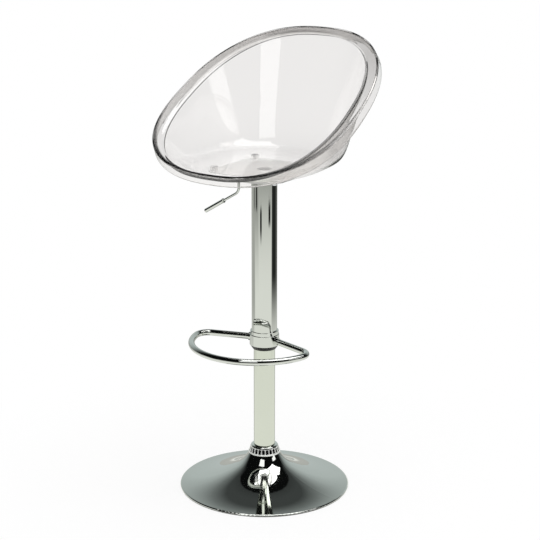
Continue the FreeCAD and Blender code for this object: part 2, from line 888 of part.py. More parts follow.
def mechanism_housing():
    body = new_body("mechanism_housing")
    half = dim.housing_side / 2
    height = dim.plate_level - dim.column_top
    sketch = new_sketch(body, "XY_Plane", dim.column_top)
    draw_outline(sketch, rectangle(-half, -half, half, half))
    block = pad(body, sketch, height)
    doc.recompute()
    uprights = [
        f"Edge{index}"
        for index, edge in enumerate(block.Shape.Edges, start=1)
        if abs(edge.tangentAt(edge.FirstParameter).z) > 0.9
    ]
    rounded = body.newObject("PartDesign::Fillet", "housing_corners")
    rounded.Base = (block, uprights)
    bind(rounded, "Radius", dim.housing_corner)
    inside = half - dim.housing_wall
    sketch = new_sketch(body, "XY_Plane", dim.column_top + dim.housing_wall)
    draw_outline(sketch, rounded_square(inside, dim.housing_corner - dim.housing_wall))
    pocket(body, sketch, height, reverse=True)
    sketch = new_sketch(body, "XY_Plane", dim.column_top)
    draw_circle(sketch, 0, 0, dim.cylinder_radius)
    pocket(body, sketch, dim.housing_wall, reverse=True)
    sketch = new_sketch(body, "YZ_Plane")
    slot = dim.lever_slot_width / 2
    slot_foot = dim.column_top + dim.housing_wall
    slot_head = dim.plate_level - dim.housing_wall
    draw_outline(sketch, rectangle(-slot, slot_foot, slot, slot_head))
    pocket(body, sketch, dim.housing_side)
    sketch = new_sketch(body, "XZ_Plane")
    draw_circle(sketch, dim.lever_pin_x, dim.lever_pin_level, dim.lever_pin_radius)
    holes = pocket(body, sketch, dim.housing_side)
    holes.Midplane = True
    return body


def rounded_square(half, radius):
    """A square outline with rounded corners around the origin."""
    flat = half - radius
    return [
        Arc(-flat, -half, radius),
        (flat, -half),
        Arc(half, -flat, radius),
        (half, flat),
        Arc(flat, half, radius),
        (-flat, half),
        Arc(-half, flat, radius),
        (-half, -flat),
    ]


def seat_plate():
    body = new_body("seat_plate")
    half = dim.plate_side / 2
    flat = half - dim.plate_corner
    outline = [
        (-flat, -half),
        (flat, -half),
        (half, -flat),
        (half, flat),
        (flat, half),
        (-flat, half),
        (-half, flat),
        (-half, -flat),
    ]
    sketch = new_sketch(body, "XY_Plane", dim.plate_level)
    draw_outline(sketch, outline)
    pad(body, sketch, dim.plate_thickness)
    sketch = new_sketch(body, "XY_Plane", dim.plate_level)
    draw_circle(sketch, 0, 0, dim.plate_bore)
    for across in (-bolt_offset, bolt_offset):
        for up in (-bolt_offset, bolt_offset):
            draw_circle(sketch, across, up, dim.bolt_radius + dim.bolt_clearance)
    pocket(body, sketch, dim.plate_thickness, reverse=True)
    return body


def seat_washers():
    bottom = dim.plate_level - dim.washer_thickness
    outline = rectangle(dim.bolt_radius + dim.bolt_clearance, bottom, dim.washer_radius, dim.plate_level)
    return screw_group("seat_washers", bolt_offset, bolt_offset, outline)


def seat_bolts():
    seat = dim.plate_level - dim.washer_thickness
    crown = seat - dim.bolt_head
    outline = [
        (zero, crown),
        (dim.bolt_head_radius * 0.7, crown),
        (dim.bolt_head_radius, crown + dim.bolt_head / 2),
        (dim.bolt_head_radius, seat),
        (dim.bolt_radius, seat),
        (dim.bolt_radius, seat + dim.bolt_length),
        (zero, seat + dim.bolt_length),
    ]
    return screw_group("seat_bolts", bolt_offset, bolt_offset, outline)


def seat_inserts():
    outline = rectangle(dim.bolt_radius, plate_top, dim.insert_radius, plate_top + dim.insert_length)
    return screw_group("seat_inserts", bolt_offset, bolt_offset, outline)


# The release lever


def lever_path():
    """The lever's points in the plane across the seat, from the valve button to its outer end."""
    drop = dim.lever_drop_x
    elbow = dim.lever_lower_bend * sine(dim.lever_fall) - dim.lever_lower_bend
    bend_out = drop + elbow
    bend_level = dim.lever_drop_end - dim.lever_lower_bend * cosine(dim.lever_fall)
    end_out = bend_out - dim.lever_run * cosine(dim.lever_fall)
    end_level = bend_level - dim.lever_run * sine(dim.lever_fall)
    return [
        (dim.lever_inner_end, dim.lever_level),
        (drop + dim.lever_upper_bend, dim.lever_level),
        Arc(drop, dim.lever_level - dim.lever_upper_bend, dim.lever_upper_bend),
        (drop, dim.lever_drop_end),
        Arc(bend_out, bend_level, dim.lever_lower_bend, left=False),
        (end_out, end_level),
    ]


def lever_rod():
    body = new_body("lever_rod")
    path = lever_path()
    spine = new_sketch(body, "XZ_Plane")
    draw_outline(spine, path, closed=False)
    section = new_sketch(body, "YZ_Plane", dim.lever_inner_end)
    draw_circle(section, 0, dim.lever_level, dim.lever_radius)
    pipe(body, spine, len(path) - 1, section)
    return body


def lever_grip():
    """A closed-ended sleeve, drawn upright around its own axis and laid along the lever's outer end."""
    cap = dim.grip_radius * 0.4
    outline = [
        (dim.lever_radius, 0),
        (dim.grip_collar_radius, 0),
        (dim.grip_collar_radius, dim.grip_collar),
        (dim.grip_radius, dim.grip_collar),
        (dim.grip_radius, dim.grip_length - cap),
        Arc(dim.grip_radius - cap, dim.grip_length, cap),
        (0, dim.grip_length),
        (0, dim.grip_length - cap),
        (dim.lever_radius, dim.grip_length - cap),
    ]
    body = turned_part("lever_grip", outline)
    end_out, end_level = lever_path()[-1]
    along = Rotation(Vector(0, 1, 0), -90 - dim.lever_fall.value)
    end = Vector(number(end_out), 0, number(end_level))
    body.Placement = Placement(end - along * Vector(0, 0, number(dim.grip_length - cap)), along)
    return body


def lever_cradle():
    """The block on the lever that rocks on the pin."""
    body = new_body("lever_cradle")
    half = dim.cradle_length / 2
    bottom = dim.lever_level - dim.lever_radius * 1.1
    top = dim.plate_level - dim.housing_wall / 2
    pin_x = dim.lever_pin_x
    sketch = new_sketch(body, "XZ_Plane")
    outline = [
        (pin_x - half, bottom),
        (pin_x + half, bottom),
        (pin_x + half, dim.lever_level),
        (pin_x + half / 2, top),
        (pin_x - half / 2, top),
        (pin_x - half, dim.lever_level),
    ]
    draw_outline(sketch, outline)
    draw_circle(sketch, pin_x, dim.lever_pin_level, dim.lever_pin_radius + dim.running_gap)
    block = pad(body, sketch, dim.cradle_width)
    block.Midplane = True
    sketch = new_sketch(body, "YZ_Plane", pin_x - half)
    draw_circle(sketch, 0, dim.lever_level, dim.lever_radius)
    pocket(body, sketch, dim.cradle_length, reverse=True)
    return body


def lever_pin():
    pin = doc.addObject("Part::Cylinder", "lever_pin")
    pin.Label = "lever_pin"
    bind(pin, "Radius", dim.lever_pin_radius)
    bind(pin, "Height", dim.housing_side)
    start = Vector(dim.lever_pin_x.value, dim.housing_side.value / 2, dim.lever_pin_level.value)
    pin.Placement = Placement(start, Rotation(Vector(1, 0, 0), 90))
    return pin


# The clear bucket seat

OUTLINE_POINTS = 40
WALL_LEVELS = 8


def oval_point(turn, half_width, half_length, fullness):
    """A point of an oval that is fuller than an ellipse, at a turn from its right end."""
    across, along = math.cos(turn), math.sin(turn)
    fill = abs(across / half_width) ** fullness + abs(along / half_length) ** fullness
    reach = fill ** (-1 / fullness)
    return across * reach, along * reach


def rim_points(side_offset, end_offset, below):
    """Points around the seat's tilted rim, moved outward by two offsets and below the rim plane."""
    tilt = math.radians(dim.rim_tilt.value)
    half_width = dim.rim_half_width.value + side_offset
    half_length = dim.rim_half_length.value + end_offset
    points = []
    for index in range(OUTLINE_POINTS):
        turn = 2 * math.pi * index / OUTLINE_POINTS
        across, along = oval_point(turn, half_width, half_length, dim.rim_fullness.value)
        across *= 1 - dim.rim_taper.value * along / half_length
        deep = dim.rim_centre_y.value + along * math.cos(tilt) + below * math.sin(tilt)
        level = dim.rim_centre_level.value + along * math.sin(tilt) - below * math.cos(tilt)
        points.append(Vector(across, deep, level))
    return points


def floor_points(level):
    """Points around the seat's flat, squarish floor."""
    half = dim.seat_floor_half_side.value
    turns = [2 * math.pi * index / OUTLINE_POINTS for index in range(OUTLINE_POINTS)]
    ovals = [oval_point(turn, half, half, dim.seat_floor_fullness.value) for turn in turns]
    return [Vector(across, deep, level) for across, deep in ovals]


def wall_levels(floor, crease):
    """Level curves of the bowl: a straight wall that rounds into the floor, floor first."""
    weight = dim.seat_corner_weight.value
    corner = (dim.seat_corner_spread.value, dim.seat_corner_rise.value)
    levels = []
    for index in range(WALL_LEVELS):
        step = index / WALL_LEVELS
        pull, end = 2 * weight * step * (1 - step), step**2
        total = (1 - step) ** 2 + pull + end
        spread, rise = [(pull * share + end) / total for share in corner]
        levels.append([blend(low, high, spread, rise) for low, high in zip(floor, crease)])
    return levels


def blend(low, high, spread, rise):
    step = high - low
    return low + Vector(step.x * spread, step.y * spread, step.z * rise)


def closed_curve(points):
    curve = Part.BSplineCurve()
    curve.interpolate(Points=points, PeriodicFlag=True)
    return Part.Wire([curve.toShape()])


def skin(levels):
    """Faces of a smooth skin through level curves."""
    return Part.makeLoft([closed_curve(points) for points in levels], False, False, False, 3).Faces


def lip_curve(inward, below, thick=0):
    """A level curve of the lip, at a share of its width inside the crest and thickened outward."""
    sides = thick - dim.lip_at_sides.value * inward
    ends = thick - dim.lip_at_ends.value * inward
    return rim_points(sides, ends, below)


def skirt_curve(outward, below):
    """A level curve of the crest and skirt, at an even distance outside the crest."""
    return rim_points(outward, outward, below)


def seat_skins():
    """Level curves of the seat's skins, from the floor's upper face over the rim to its lower face."""
    wall, drop, crest = dim.seat_wall.value, dim.lip_drop.value, dim.crest_round.value
    skirt, flare_out = dim.skirt_height.value, dim.skirt_flare.value
    edge, bend = wall / 2, wall * 0.15
    inner_crease = lip_curve(1, drop + wall * 1.4)
    outer_crease = lip_curve(1, drop + wall * 2.4, wall)
    crest_top = skirt_curve(-crest, 0)
    crest_side = skirt_curve(0, crest)
    skirt_out = skirt_curve(flare_out, skirt - edge)
    skirt_in = skirt_curve(flare_out - wall, skirt - edge)
    skirt_root = skirt_curve(-wall, wall * 2)
    crest_inside = skirt_curve(-wall * 1.9, wall * 1.1)
    floor_level = dim.seat_floor_level.value
    inside = wall_levels(floor_points(floor_level), inner_crease)
    outside = wall_levels(floor_points(floor_level - wall), outer_crease)
    return [
        inside + [inner_crease],
        [
            inner_crease,
            lip_curve(0.95, drop + wall * 0.3),
            lip_curve(0.75, drop * 0.72),
            lip_curve(0.4, drop * 0.3),
            crest_top,
        ],
        [crest_top, skirt_curve(-crest * 0.3, crest * 0.3), crest_side],
        [crest_side, skirt_out],
        [
            skirt_out,
            skirt_curve(flare_out - bend, skirt - bend),
            skirt_curve(flare_out - edge, skirt),
            skirt_curve(flare_out - wall + bend, skirt - bend),
            skirt_in,
        ],
        [skirt_in, skirt_root],
        [skirt_root, skirt_curve(-wall * 1.25, wall * 1.35), crest_inside],
        [
            crest_inside,
            lip_curve(0.75, drop * 0.72 + wall, wall * 0.4),
            lip_curve(0.97, drop + wall * 1.4, wall * 0.9),
            outer_crease,
        ],
        [outer_crease] + outside[::-1],
    ]


def seat_shell():
    """Skins around the whole wall of the seat, closed by the two faces of its floor."""
    skins = seat_skins()
    faces = [face for levels in skins for face in skin(levels)]
    floors = [Part.Face(closed_curve(levels)) for levels in (skins[0][0], skins[-1][-1])]
    hull = Part.makeShell(faces + floors)
    hull.sewShape()
    boss_top = number(dim.seat_floor_level - dim.seat_wall / 2)
    shell = Part.makeSolid(hull).fuse(seat_bosses(dim.seat_boss_radius.value, boss_top))
    shell = shell.cut(seat_bosses(dim.insert_radius.value, number(plate_top + dim.insert_length)))
    seat = doc.addObject("Part::Feature", "seat_shell")
    seat.Label = "seat_shell"
    seat.Shape = shell.Solids[0]
    seat.Placement = Placement(Vector(0, 0, 0), Rotation())
    return seat


def seat_bosses(radius, top):
    """Upright cylinders over the four bolts, from the plate up."""
    offset, bottom = number(bolt_offset), number(plate_top)
    corners = [Vector(x, y, bottom) for x in (-offset, offset) for y in (-offset, offset)]
    return Part.makeCompound([Part.makeCylinder(radius, top - bottom, corner) for corner in corners])


def write_parts(parts):
    """Checks every object of the document and writes each sub-part to its own file."""
    doc.recompute()
    broken = [item.Name for item in doc.Objects if {"Invalid", "Error"} & set(item.State)]
    if broken:
        raise RuntimeError(f"objects that did not build: {broken}")
    os.makedirs("parts", exist_ok=True)
    for part in parts:
        shape = part.Shape
        if shape.isNull() or not shape.isValid():
            raise RuntimeError(f"{part.Label} has no valid shape")
        shape.exportStep(f"parts/{part.Label}.step")
        print(f"{part.Label}: {len(shape.Solids)} solid(s), {shape.Volume / 1000:.1f} cm3")


PIECES = [
    base_dish,
    floor_ring,
    ballast_plate,
    column_socket,
    socket_screws,
    trim_ring,
    stand_tube,
    tube_foot,
    lower_race,
    bearing_balls,
    bearing_cage,
    upper_race,
    rod_clip,
    piston_rod,
    rod_bumper,
    gas_cylinder,
    valve_button,
    guide_bush,
    sleeve_tube,
    sleeve_bush,
    sleeve_spacer,
    footrest_collar,
    footrest_loop,
    collar_screws,
    taper_hub,
    mechanism_housing,
    seat_plate,
    seat_washers,
    seat_bolts,
    seat_inserts,
    lever_rod,
    lever_grip,
    lever_cradle,
    lever_pin,
    seat_shell,
]

write_parts([make_piece() for make_piece in PIECES])
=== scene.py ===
"""An adjustable bar stool with a clear bucket seat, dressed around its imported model."""

import json
import logging
import math
from dataclasses import dataclass
from enum import Enum
from typing import Any

import bpy
import numpy as np
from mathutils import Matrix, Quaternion, Vector


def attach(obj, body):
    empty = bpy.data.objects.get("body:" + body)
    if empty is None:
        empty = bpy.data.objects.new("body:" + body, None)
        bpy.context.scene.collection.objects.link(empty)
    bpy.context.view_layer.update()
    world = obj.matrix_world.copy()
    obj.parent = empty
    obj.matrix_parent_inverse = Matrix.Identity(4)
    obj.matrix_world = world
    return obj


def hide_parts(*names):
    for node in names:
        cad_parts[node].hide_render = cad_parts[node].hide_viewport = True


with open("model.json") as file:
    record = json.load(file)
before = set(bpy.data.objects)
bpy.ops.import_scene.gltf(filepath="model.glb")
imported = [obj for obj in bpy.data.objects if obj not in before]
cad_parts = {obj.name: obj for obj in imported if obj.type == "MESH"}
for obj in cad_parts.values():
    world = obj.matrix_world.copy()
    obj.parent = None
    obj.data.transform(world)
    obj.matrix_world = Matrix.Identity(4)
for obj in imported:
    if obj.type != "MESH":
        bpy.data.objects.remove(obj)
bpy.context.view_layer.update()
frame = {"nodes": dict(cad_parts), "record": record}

log = logging.getLogger("bar_stool")

Colour = tuple[float, float, float]
Point = tuple[float, float, float]
Pair = tuple[float, float]
Socket = bpy.types.NodeSocket

MM = 0.001
SHARP_EDGE = math.radians(32.0)
WHITE = (1.0, 1.0, 1.0)
BLACK = (0.0, 0.0, 0.0)

# Slots that several pieces use, and a finish that one piece has for itself
CHROME = "chrome"
ZINC = "zinc_steel"
CAST_CHROME = "cast_chrome"

# Marks on the points of meshes that their finishes read; all but the polish place painted shade
PAINTED_POCKET_SHADE = "pocket"
POLISH = "polish"
PAINTED_LIP_SHADE = "painted_lip_shade"
PAINTED_CREST_SHADE = "painted_crest_shade"


class Body(Enum):
    """The moving groups of the stool, by the names that the frame gives them."""

    BASE = "base"
    CARRIAGE = "seat_carriage"
    LEVER = "lever"


class SurfaceKind(Enum):
    """How a finish answers light, by its share of bare metal."""

    METAL = 1.0
    SATIN = 0.4
    DIELECTRIC = 0.0


class Relief(Enum):
    """The relief of a finish, by the name of its shared group."""

    HAIRLINES = "hairlines"
    SKIN = "skin_grain"


class Joining(Enum):
    """What is made of two closed meshes."""

    UNION = "UNION"
    DIFFERENCE = "DIFFERENCE"


def opaque(colour: Colour) -> tuple[float, float, float, float]:
    """Returns a colour with full alpha."""
    return (*colour, 1.0)


class Nodes:
    """Short calls for adding and joining nodes in one tree."""

    # The places of a Mix node's colour sockets, which share their names with others
    MIX_FIRST = 6
    MIX_SECOND = 7
    MIX_RESULT = 2

    def __init__(self, tree: bpy.types.NodeTree) -> None:
        """Starts on the tree that takes the nodes."""
        self.tree = tree

    def add(self, kind: str, **settings: Any) -> bpy.types.Node:
        """Adds a node.

        Args:
            kind: The node's type name.
            settings: Properties to set on it.

        Returns:
            The new node.
        """
        node = self.tree.nodes.new(kind)
        for name, value in settings.items():
            setattr(node, name, value)
        return node

    def feed(self, socket: Socket, value: Any) -> None:
        """Links or sets an input.

        Args:
            socket: The input.
            value: The output socket to link to it, or the plain value to set.
        """
        if isinstance(value, Socket):
            self.tree.links.new(value, socket)
        else:
            socket.default_value = value

    def fill(self, node: bpy.types.Node, **values: Any) -> bpy.types.Node:
        """Feeds inputs of a node by their names, with _ for a space.

        Args:
            node: The node whose inputs are fed.
            values: A plain value or an output socket for each input.

        Returns:
            The node.
        """
        for name, value in values.items():
            self.feed(node.inputs[name.replace("_", " ")], value)
        return node

    def step(self, kind: str, *values: Any, **settings: Any) -> Any:
        """Adds a node and feeds its first inputs in order.

        Args:
            kind: The node's type name.
            values: A plain value or an output socket for each input.
            settings: Properties to set on the node.

        Returns:
            The node's outputs.
        """
        node = self.add(kind, **settings)
        for socket, value in zip(node.inputs, values):
            self.feed(socket, value)
        return node.outputs

    def maths(self, operation: str, *values: Any) -> Socket:
        """Returns the result of an operation on numbers or sockets."""
        return self.step("ShaderNodeMath", *values, operation=operation)[0]

    def reach(self, vector: Socket, direction: Vector) -> Socket:
        """Returns how far a vector reaches in a direction."""
        return self.step("ShaderNodeVectorMath", vector, direction, operation="DOT_PRODUCT")["Value"]

    def blend(self, share: Socket, first: Socket, second: Socket) -> Socket:
        """Returns a mix of two shaders by the second one's share."""
        return self.step("ShaderNodeMixShader", share, first, second)[0]

    def mark(self, name: str) -> Socket:
        """Returns the values of a mark on the mesh's points."""
        return self.add("ShaderNodeAttribute", attribute_name=name).outputs["Fac"]

    def place(self) -> Socket:
        """Returns the place on the object, in its own coordinates."""
        return self.add("ShaderNodeTexCoord").outputs["Object"]

    def noise(self, place: Socket, scale: Socket, detail: float) -> Socket:
        """Returns the values of a noise with a scale and a number of finer layers."""
        noise = self.fill(self.add("ShaderNodeTexNoise"), Vector=place, Scale=scale, Detail=detail)
        return noise.outputs["Fac"]

    def effect(self, group: bpy.types.NodeTree, **values: Any) -> Socket:
        """Returns the output of a shared group with its own values."""
        return self.fill(self.add("ShaderNodeGroup", node_tree=group), **values).outputs[0]

    def mix(self, share: Socket, first: Any, second: Any) -> Socket:
        """Mixes two colours.

        Args:
            share: The second colour's share.
            first: The first colour or its socket.
            second: The second colour or its socket.

        Returns:
            The socket of the mixed colour.
        """
        node = self.add("ShaderNodeMix", data_type="RGBA")
        self.fill(node, Factor=share)
        self.feed(node.inputs[self.MIX_FIRST], first)
        self.feed(node.inputs[self.MIX_SECOND], second)
        return node.outputs[self.MIX_RESULT]

    def remap(self, value: Socket, low: float, high: float, soft: bool = False, **to: Any) -> Socket:
        """Stretches a span of values to another one, and holds what lies outside.

        Args:
            value: The socket of the value.
            low: The value that becomes To_Min.
            high: The value that becomes To_Max.
            soft: Whether the change is eased at both ends.
            to: To_Min and To_Max, where they aren't 0 and 1.

        Returns:
            The socket of the result.
        """
        node = self.add("ShaderNodeMapRange", interpolation_type="SMOOTHSTEP" if soft else "LINEAR")
        return self.fill(node, Value=value, From_Min=low, From_Max=high, **to).outputs["Result"]


def new_material(name: str) -> tuple[bpy.types.Material, Nodes]:
    """Makes a material with nodes.

    Args:
        name: The material's name.

    Returns:
        The material and its nodes.
    """
    material = bpy.data.materials.new(name)
    material.use_nodes = True
    return material, Nodes(material.node_tree)


def new_mesh(name: str, corners: Any, faces: list[tuple[int, ...]]) -> bpy.types.Mesh:
    """Makes a mesh.

    Args:
        name: The mesh's name.
        corners: Its points, in metres.
        faces: The points of each face, by number.

    Returns:
        The mesh.
    """
    mesh = bpy.data.meshes.new(name)
    mesh.from_pydata(corners, [], faces)
    return mesh


def mark_points(mesh: bpy.types.Mesh, mark: str, shares: list[float]) -> None:
    """Writes a mark with a share for each of a mesh's points."""
    mesh.attributes.new(mark, "FLOAT", "POINT").data.foreach_set("value", shares)


def stand(name: str, data: bpy.types.ID) -> bpy.types.Object:
    """Puts an object in the scene.

    Args:
        name: The object's name.
        data: Its mesh, lamp or camera.

    Returns:
        The object.
    """
    item = bpy.data.objects.new(name, data)
    bpy.context.scene.collection.objects.link(item)
    return item


def baked(item: bpy.types.Object) -> bpy.types.Mesh:
    """Returns a plain mesh of an object as its modifiers leave it."""
    shown = item.evaluated_get(bpy.context.evaluated_depsgraph_get())
    return bpy.data.meshes.new_from_object(shown)


# The turns of the two sets of hairlines, and the scale of a skin's specks as a share of its own
HAIRLINE_TURNS = (0.35, -0.8)
SPECK_SCALE = 0.3


class SurfaceEffects:
    """Shader groups that several finishes share, each built once."""

    def __init__(self) -> None:
        """Builds the groups."""
        self.haze = self._haze()
        self.tone = self._tone()
        self.reliefs = {Relief.HAIRLINES: self._hairlines(), Relief.SKIN: self._skin()}

    @staticmethod
    def _group(
        name: str, inputs: dict[str, Any], output: str, kind: str = "NodeSocketFloat"
    ) -> tuple[Nodes, Any, Socket]:
        """Starts a group with named sockets.

        Args:
            name: The group's name.
            inputs: Each input's name and default; a tuple is a colour and None a vector.
            output: The name of the one output.
            kind: The output's socket type.

        Returns:
            The group's nodes, the sockets of what it is given and the socket that takes its result.
        """
        tree = bpy.data.node_groups.new(name, "ShaderNodeTree")
        for label, value in inputs.items():
            if value is None:
                tree.interface.new_socket(label, in_out="INPUT", socket_type="NodeSocketVector")
                continue
            form = "NodeSocketColor" if isinstance(value, tuple) else "NodeSocketFloat"
            socket = tree.interface.new_socket(label, in_out="INPUT", socket_type=form)
            socket.default_value = value
        tree.interface.new_socket(output, in_out="OUTPUT", socket_type=kind)
        nodes = Nodes(tree)
        return nodes, nodes.add("NodeGroupInput").outputs, nodes.add("NodeGroupOutput").inputs[output]

    def _haze(self) -> bpy.types.NodeTree:
        """Makes roughness that drifts between two values, as wiping and handling leave it.

        Returns:
            The group.
        """
        inputs = {"Place": None, "Scale": 12.0, "Low": 0.03, "High": 0.08}
        nodes, given, result = self._group("wiped_haze", inputs, "Roughness")
        cloud = nodes.noise(given["Place"], given["Scale"], detail=4.0)
        span = {"To_Min": given["Low"], "To_Max": given["High"]}
        nodes.feed(result, nodes.remap(cloud, low=0.35, high=0.68, **span))
        return nodes.tree

    def _tone(self) -> bpy.types.NodeTree:
        """Makes a colour that drifts towards a second one in soft clouds.

        Returns:
            The group.
        """
        inputs = {"Place": None, "Scale": 9.0, "Share": 0.5, "Main": opaque(WHITE), "Second": opaque(WHITE)}
        nodes, given, result = self._group("drifting_tone", inputs, "Color", "NodeSocketColor")
        cloud = nodes.noise(given["Place"], given["Scale"], detail=5.0)
        share = nodes.maths("MULTIPLY", nodes.remap(cloud, low=0.3, high=0.75), given["Share"])
        nodes.feed(result, nodes.mix(share, given["Main"], given["Second"]))
        return nodes.tree

    def _hairlines(self) -> bpy.types.NodeTree:
        """Makes the height of hairline marks that cross in two directions.

        Returns:
            The group.
        """
        inputs = {"Place": None, "Scale": 90.0, "Stretch": 14.0}
        nodes, given, result = self._group(Relief.HAIRLINES.value, inputs, "Height")
        marks = []
        for turn in HAIRLINE_TURNS:
            stretch = nodes.step("ShaderNodeCombineXYZ", given["Stretch"], 1.0, 1.0)[0]
            mapping = nodes.add("ShaderNodeMapping")
            nodes.fill(mapping, Vector=given["Place"], Rotation=(turn, turn, turn), Scale=stretch)
            streaks = nodes.noise(mapping.outputs[0], given["Scale"], detail=2.0)
            marks.append(nodes.remap(streaks, low=0.62, high=0.72))
        nodes.feed(result, nodes.maths("MAXIMUM", *marks))
        return nodes.tree

    def _skin(self) -> bpy.types.NodeTree:
        """Makes the height of a fine skin with larger specks, as on moulded, painted and cast pieces.

        Returns:
            The group.
        """
        inputs = {"Place": None, "Scale": 900.0, "Specks": 0.3}
        nodes, given, result = self._group(Relief.SKIN.value, inputs, "Height")
        fine = nodes.noise(given["Place"], given["Scale"], detail=3.0)
        cells = nodes.add("ShaderNodeTexVoronoi")
        nodes.fill(cells, Vector=given["Place"], Scale=nodes.maths("MULTIPLY", given["Scale"], SPECK_SCALE))
        specks = nodes.maths("MULTIPLY", cells.outputs["Distance"], given["Specks"])
        nodes.feed(result, nodes.maths("ADD", fine, specks))
        return nodes.tree


@dataclass(frozen=True)
class Finish:
    """An opaque finish: two tones, a span of roughness and a relief.

    Attributes:
        main: The main colour, linear.
        second: The colour that it drifts to.
        kind: Metal or not.
        gloss: The lowest and highest roughness.
        relief: The relief's kind.
        relief_scale: How fine the relief is.
        relief_depth: The relief's height in metres.
        coat: The weight of a clear coat.
        painted_pocket_shades: Whether the mesh marks pockets darkened with painted shade, and polished
            shoulders.
        pocket_shade_colour: The colour of the painted shade in the pockets.
        polished: The roughness of the shoulders, which are bare metal.
    """

    main: Colour
    second: Colour
    kind: SurfaceKind
    gloss: Pair
    relief: Relief = Relief.HAIRLINES
    relief_scale: float = 90.0
    relief_depth: float = 0.000002
    coat: float = 0.0
    painted_pocket_shades: bool = False
    pocket_shade_colour: Colour = (0.006, 0.006, 0.007)
    polished: float = 0.05

    def build(self, name: str, effects: SurfaceEffects) -> bpy.types.Material:
        """Builds the material.

        Args:
            name: The material's name.
            effects: The shared shader groups.

        Returns:
            The material.
        """
        material, nodes = new_material(name)
        place = nodes.place()
        tone = nodes.effect(effects.tone, Place=place, Main=opaque(self.main), Second=opaque(self.second))
        low, high = self.gloss
        roughness = nodes.effect(effects.haze, Place=place, Low=low, High=high)
        height = nodes.effect(effects.reliefs[self.relief], Place=place, Scale=self.relief_scale)
        bump = nodes.add("ShaderNodeBump")
        nodes.fill(bump, Strength=1.0, Distance=self.relief_depth, Height=height)
        metal: Any = self.kind.value
        if self.painted_pocket_shades:
            polish = nodes.mark(POLISH)
            # Painted shade: the pockets darken towards near black where the mesh marks them
            tone = nodes.mix(nodes.mark(PAINTED_POCKET_SHADE), tone, opaque(self.pocket_shade_colour))
            roughness = nodes.remap(polish, 0.0, 1.0, To_Min=roughness, To_Max=self.polished)
            metal = nodes.remap(polish, 0.0, 1.0, To_Min=metal, To_Max=SurfaceKind.METAL.value)
        shader = nodes.tree.nodes["Principled BSDF"]
        nodes.fill(shader, Base_Color=tone, Roughness=roughness, Metallic=metal)
        nodes.fill(shader, Normal=bump.outputs["Normal"], Coat_Weight=self.coat)
        return material


@dataclass(frozen=True)
class ClearFinish:
    """Polished clear plastic that lets the lamps through, with painted shade on its lip and crest.

    Attributes:
        tint: What one wall leaves of the light that goes through it, linear.
        painted_lip_shade_tint: The same where the mesh marks painted shade on the lip, greyer.
        painted_crest_shade_tint: The same where the mesh marks painted shade along the rim's crest, near
            black.
        gloss: The lowest and highest roughness.
        bend: The index of refraction.
        haze_scale: How fine the drift of roughness is.
    """

    tint: Colour
    painted_lip_shade_tint: Colour
    painted_crest_shade_tint: Colour
    gloss: Pair
    bend: float
    haze_scale: float = 6.0

    def build(self, name: str, effects: SurfaceEffects) -> bpy.types.Material:
        """Builds the material.

        Args:
            name: The material's name.
            effects: The shared shader groups.

        Returns:
            The material.
        """
        material, nodes = new_material(name)
        shader = nodes.tree.nodes["Principled BSDF"]
        place = nodes.place()
        low, high = self.gloss
        roughness = nodes.effect(effects.haze, Place=place, Scale=self.haze_scale, Low=low, High=high)
        # Painted shade: the lip turns grey where the mesh marks it
        tone = nodes.mix(nodes.mark(PAINTED_LIP_SHADE), opaque(self.tint), opaque(self.painted_lip_shade_tint))
        # Painted shade: near black along the crest where the mesh marks it
        tone = nodes.mix(nodes.mark(PAINTED_CREST_SHADE), tone, opaque(self.painted_crest_shade_tint))
        nodes.fill(shader, Base_Color=tone, Roughness=roughness, IOR=self.bend, Transmission_Weight=1.0)
        lamps_pass = nodes.fill(nodes.add("ShaderNodeBsdfTransparent"), Color=opaque(self.tint))
        shadow = nodes.add("ShaderNodeLightPath").outputs["Is Shadow Ray"]
        surface = nodes.blend(shadow, shader.outputs[0], lamps_pass.outputs[0])
        nodes.fill(nodes.tree.nodes["Material Output"], Surface=surface)
        return material


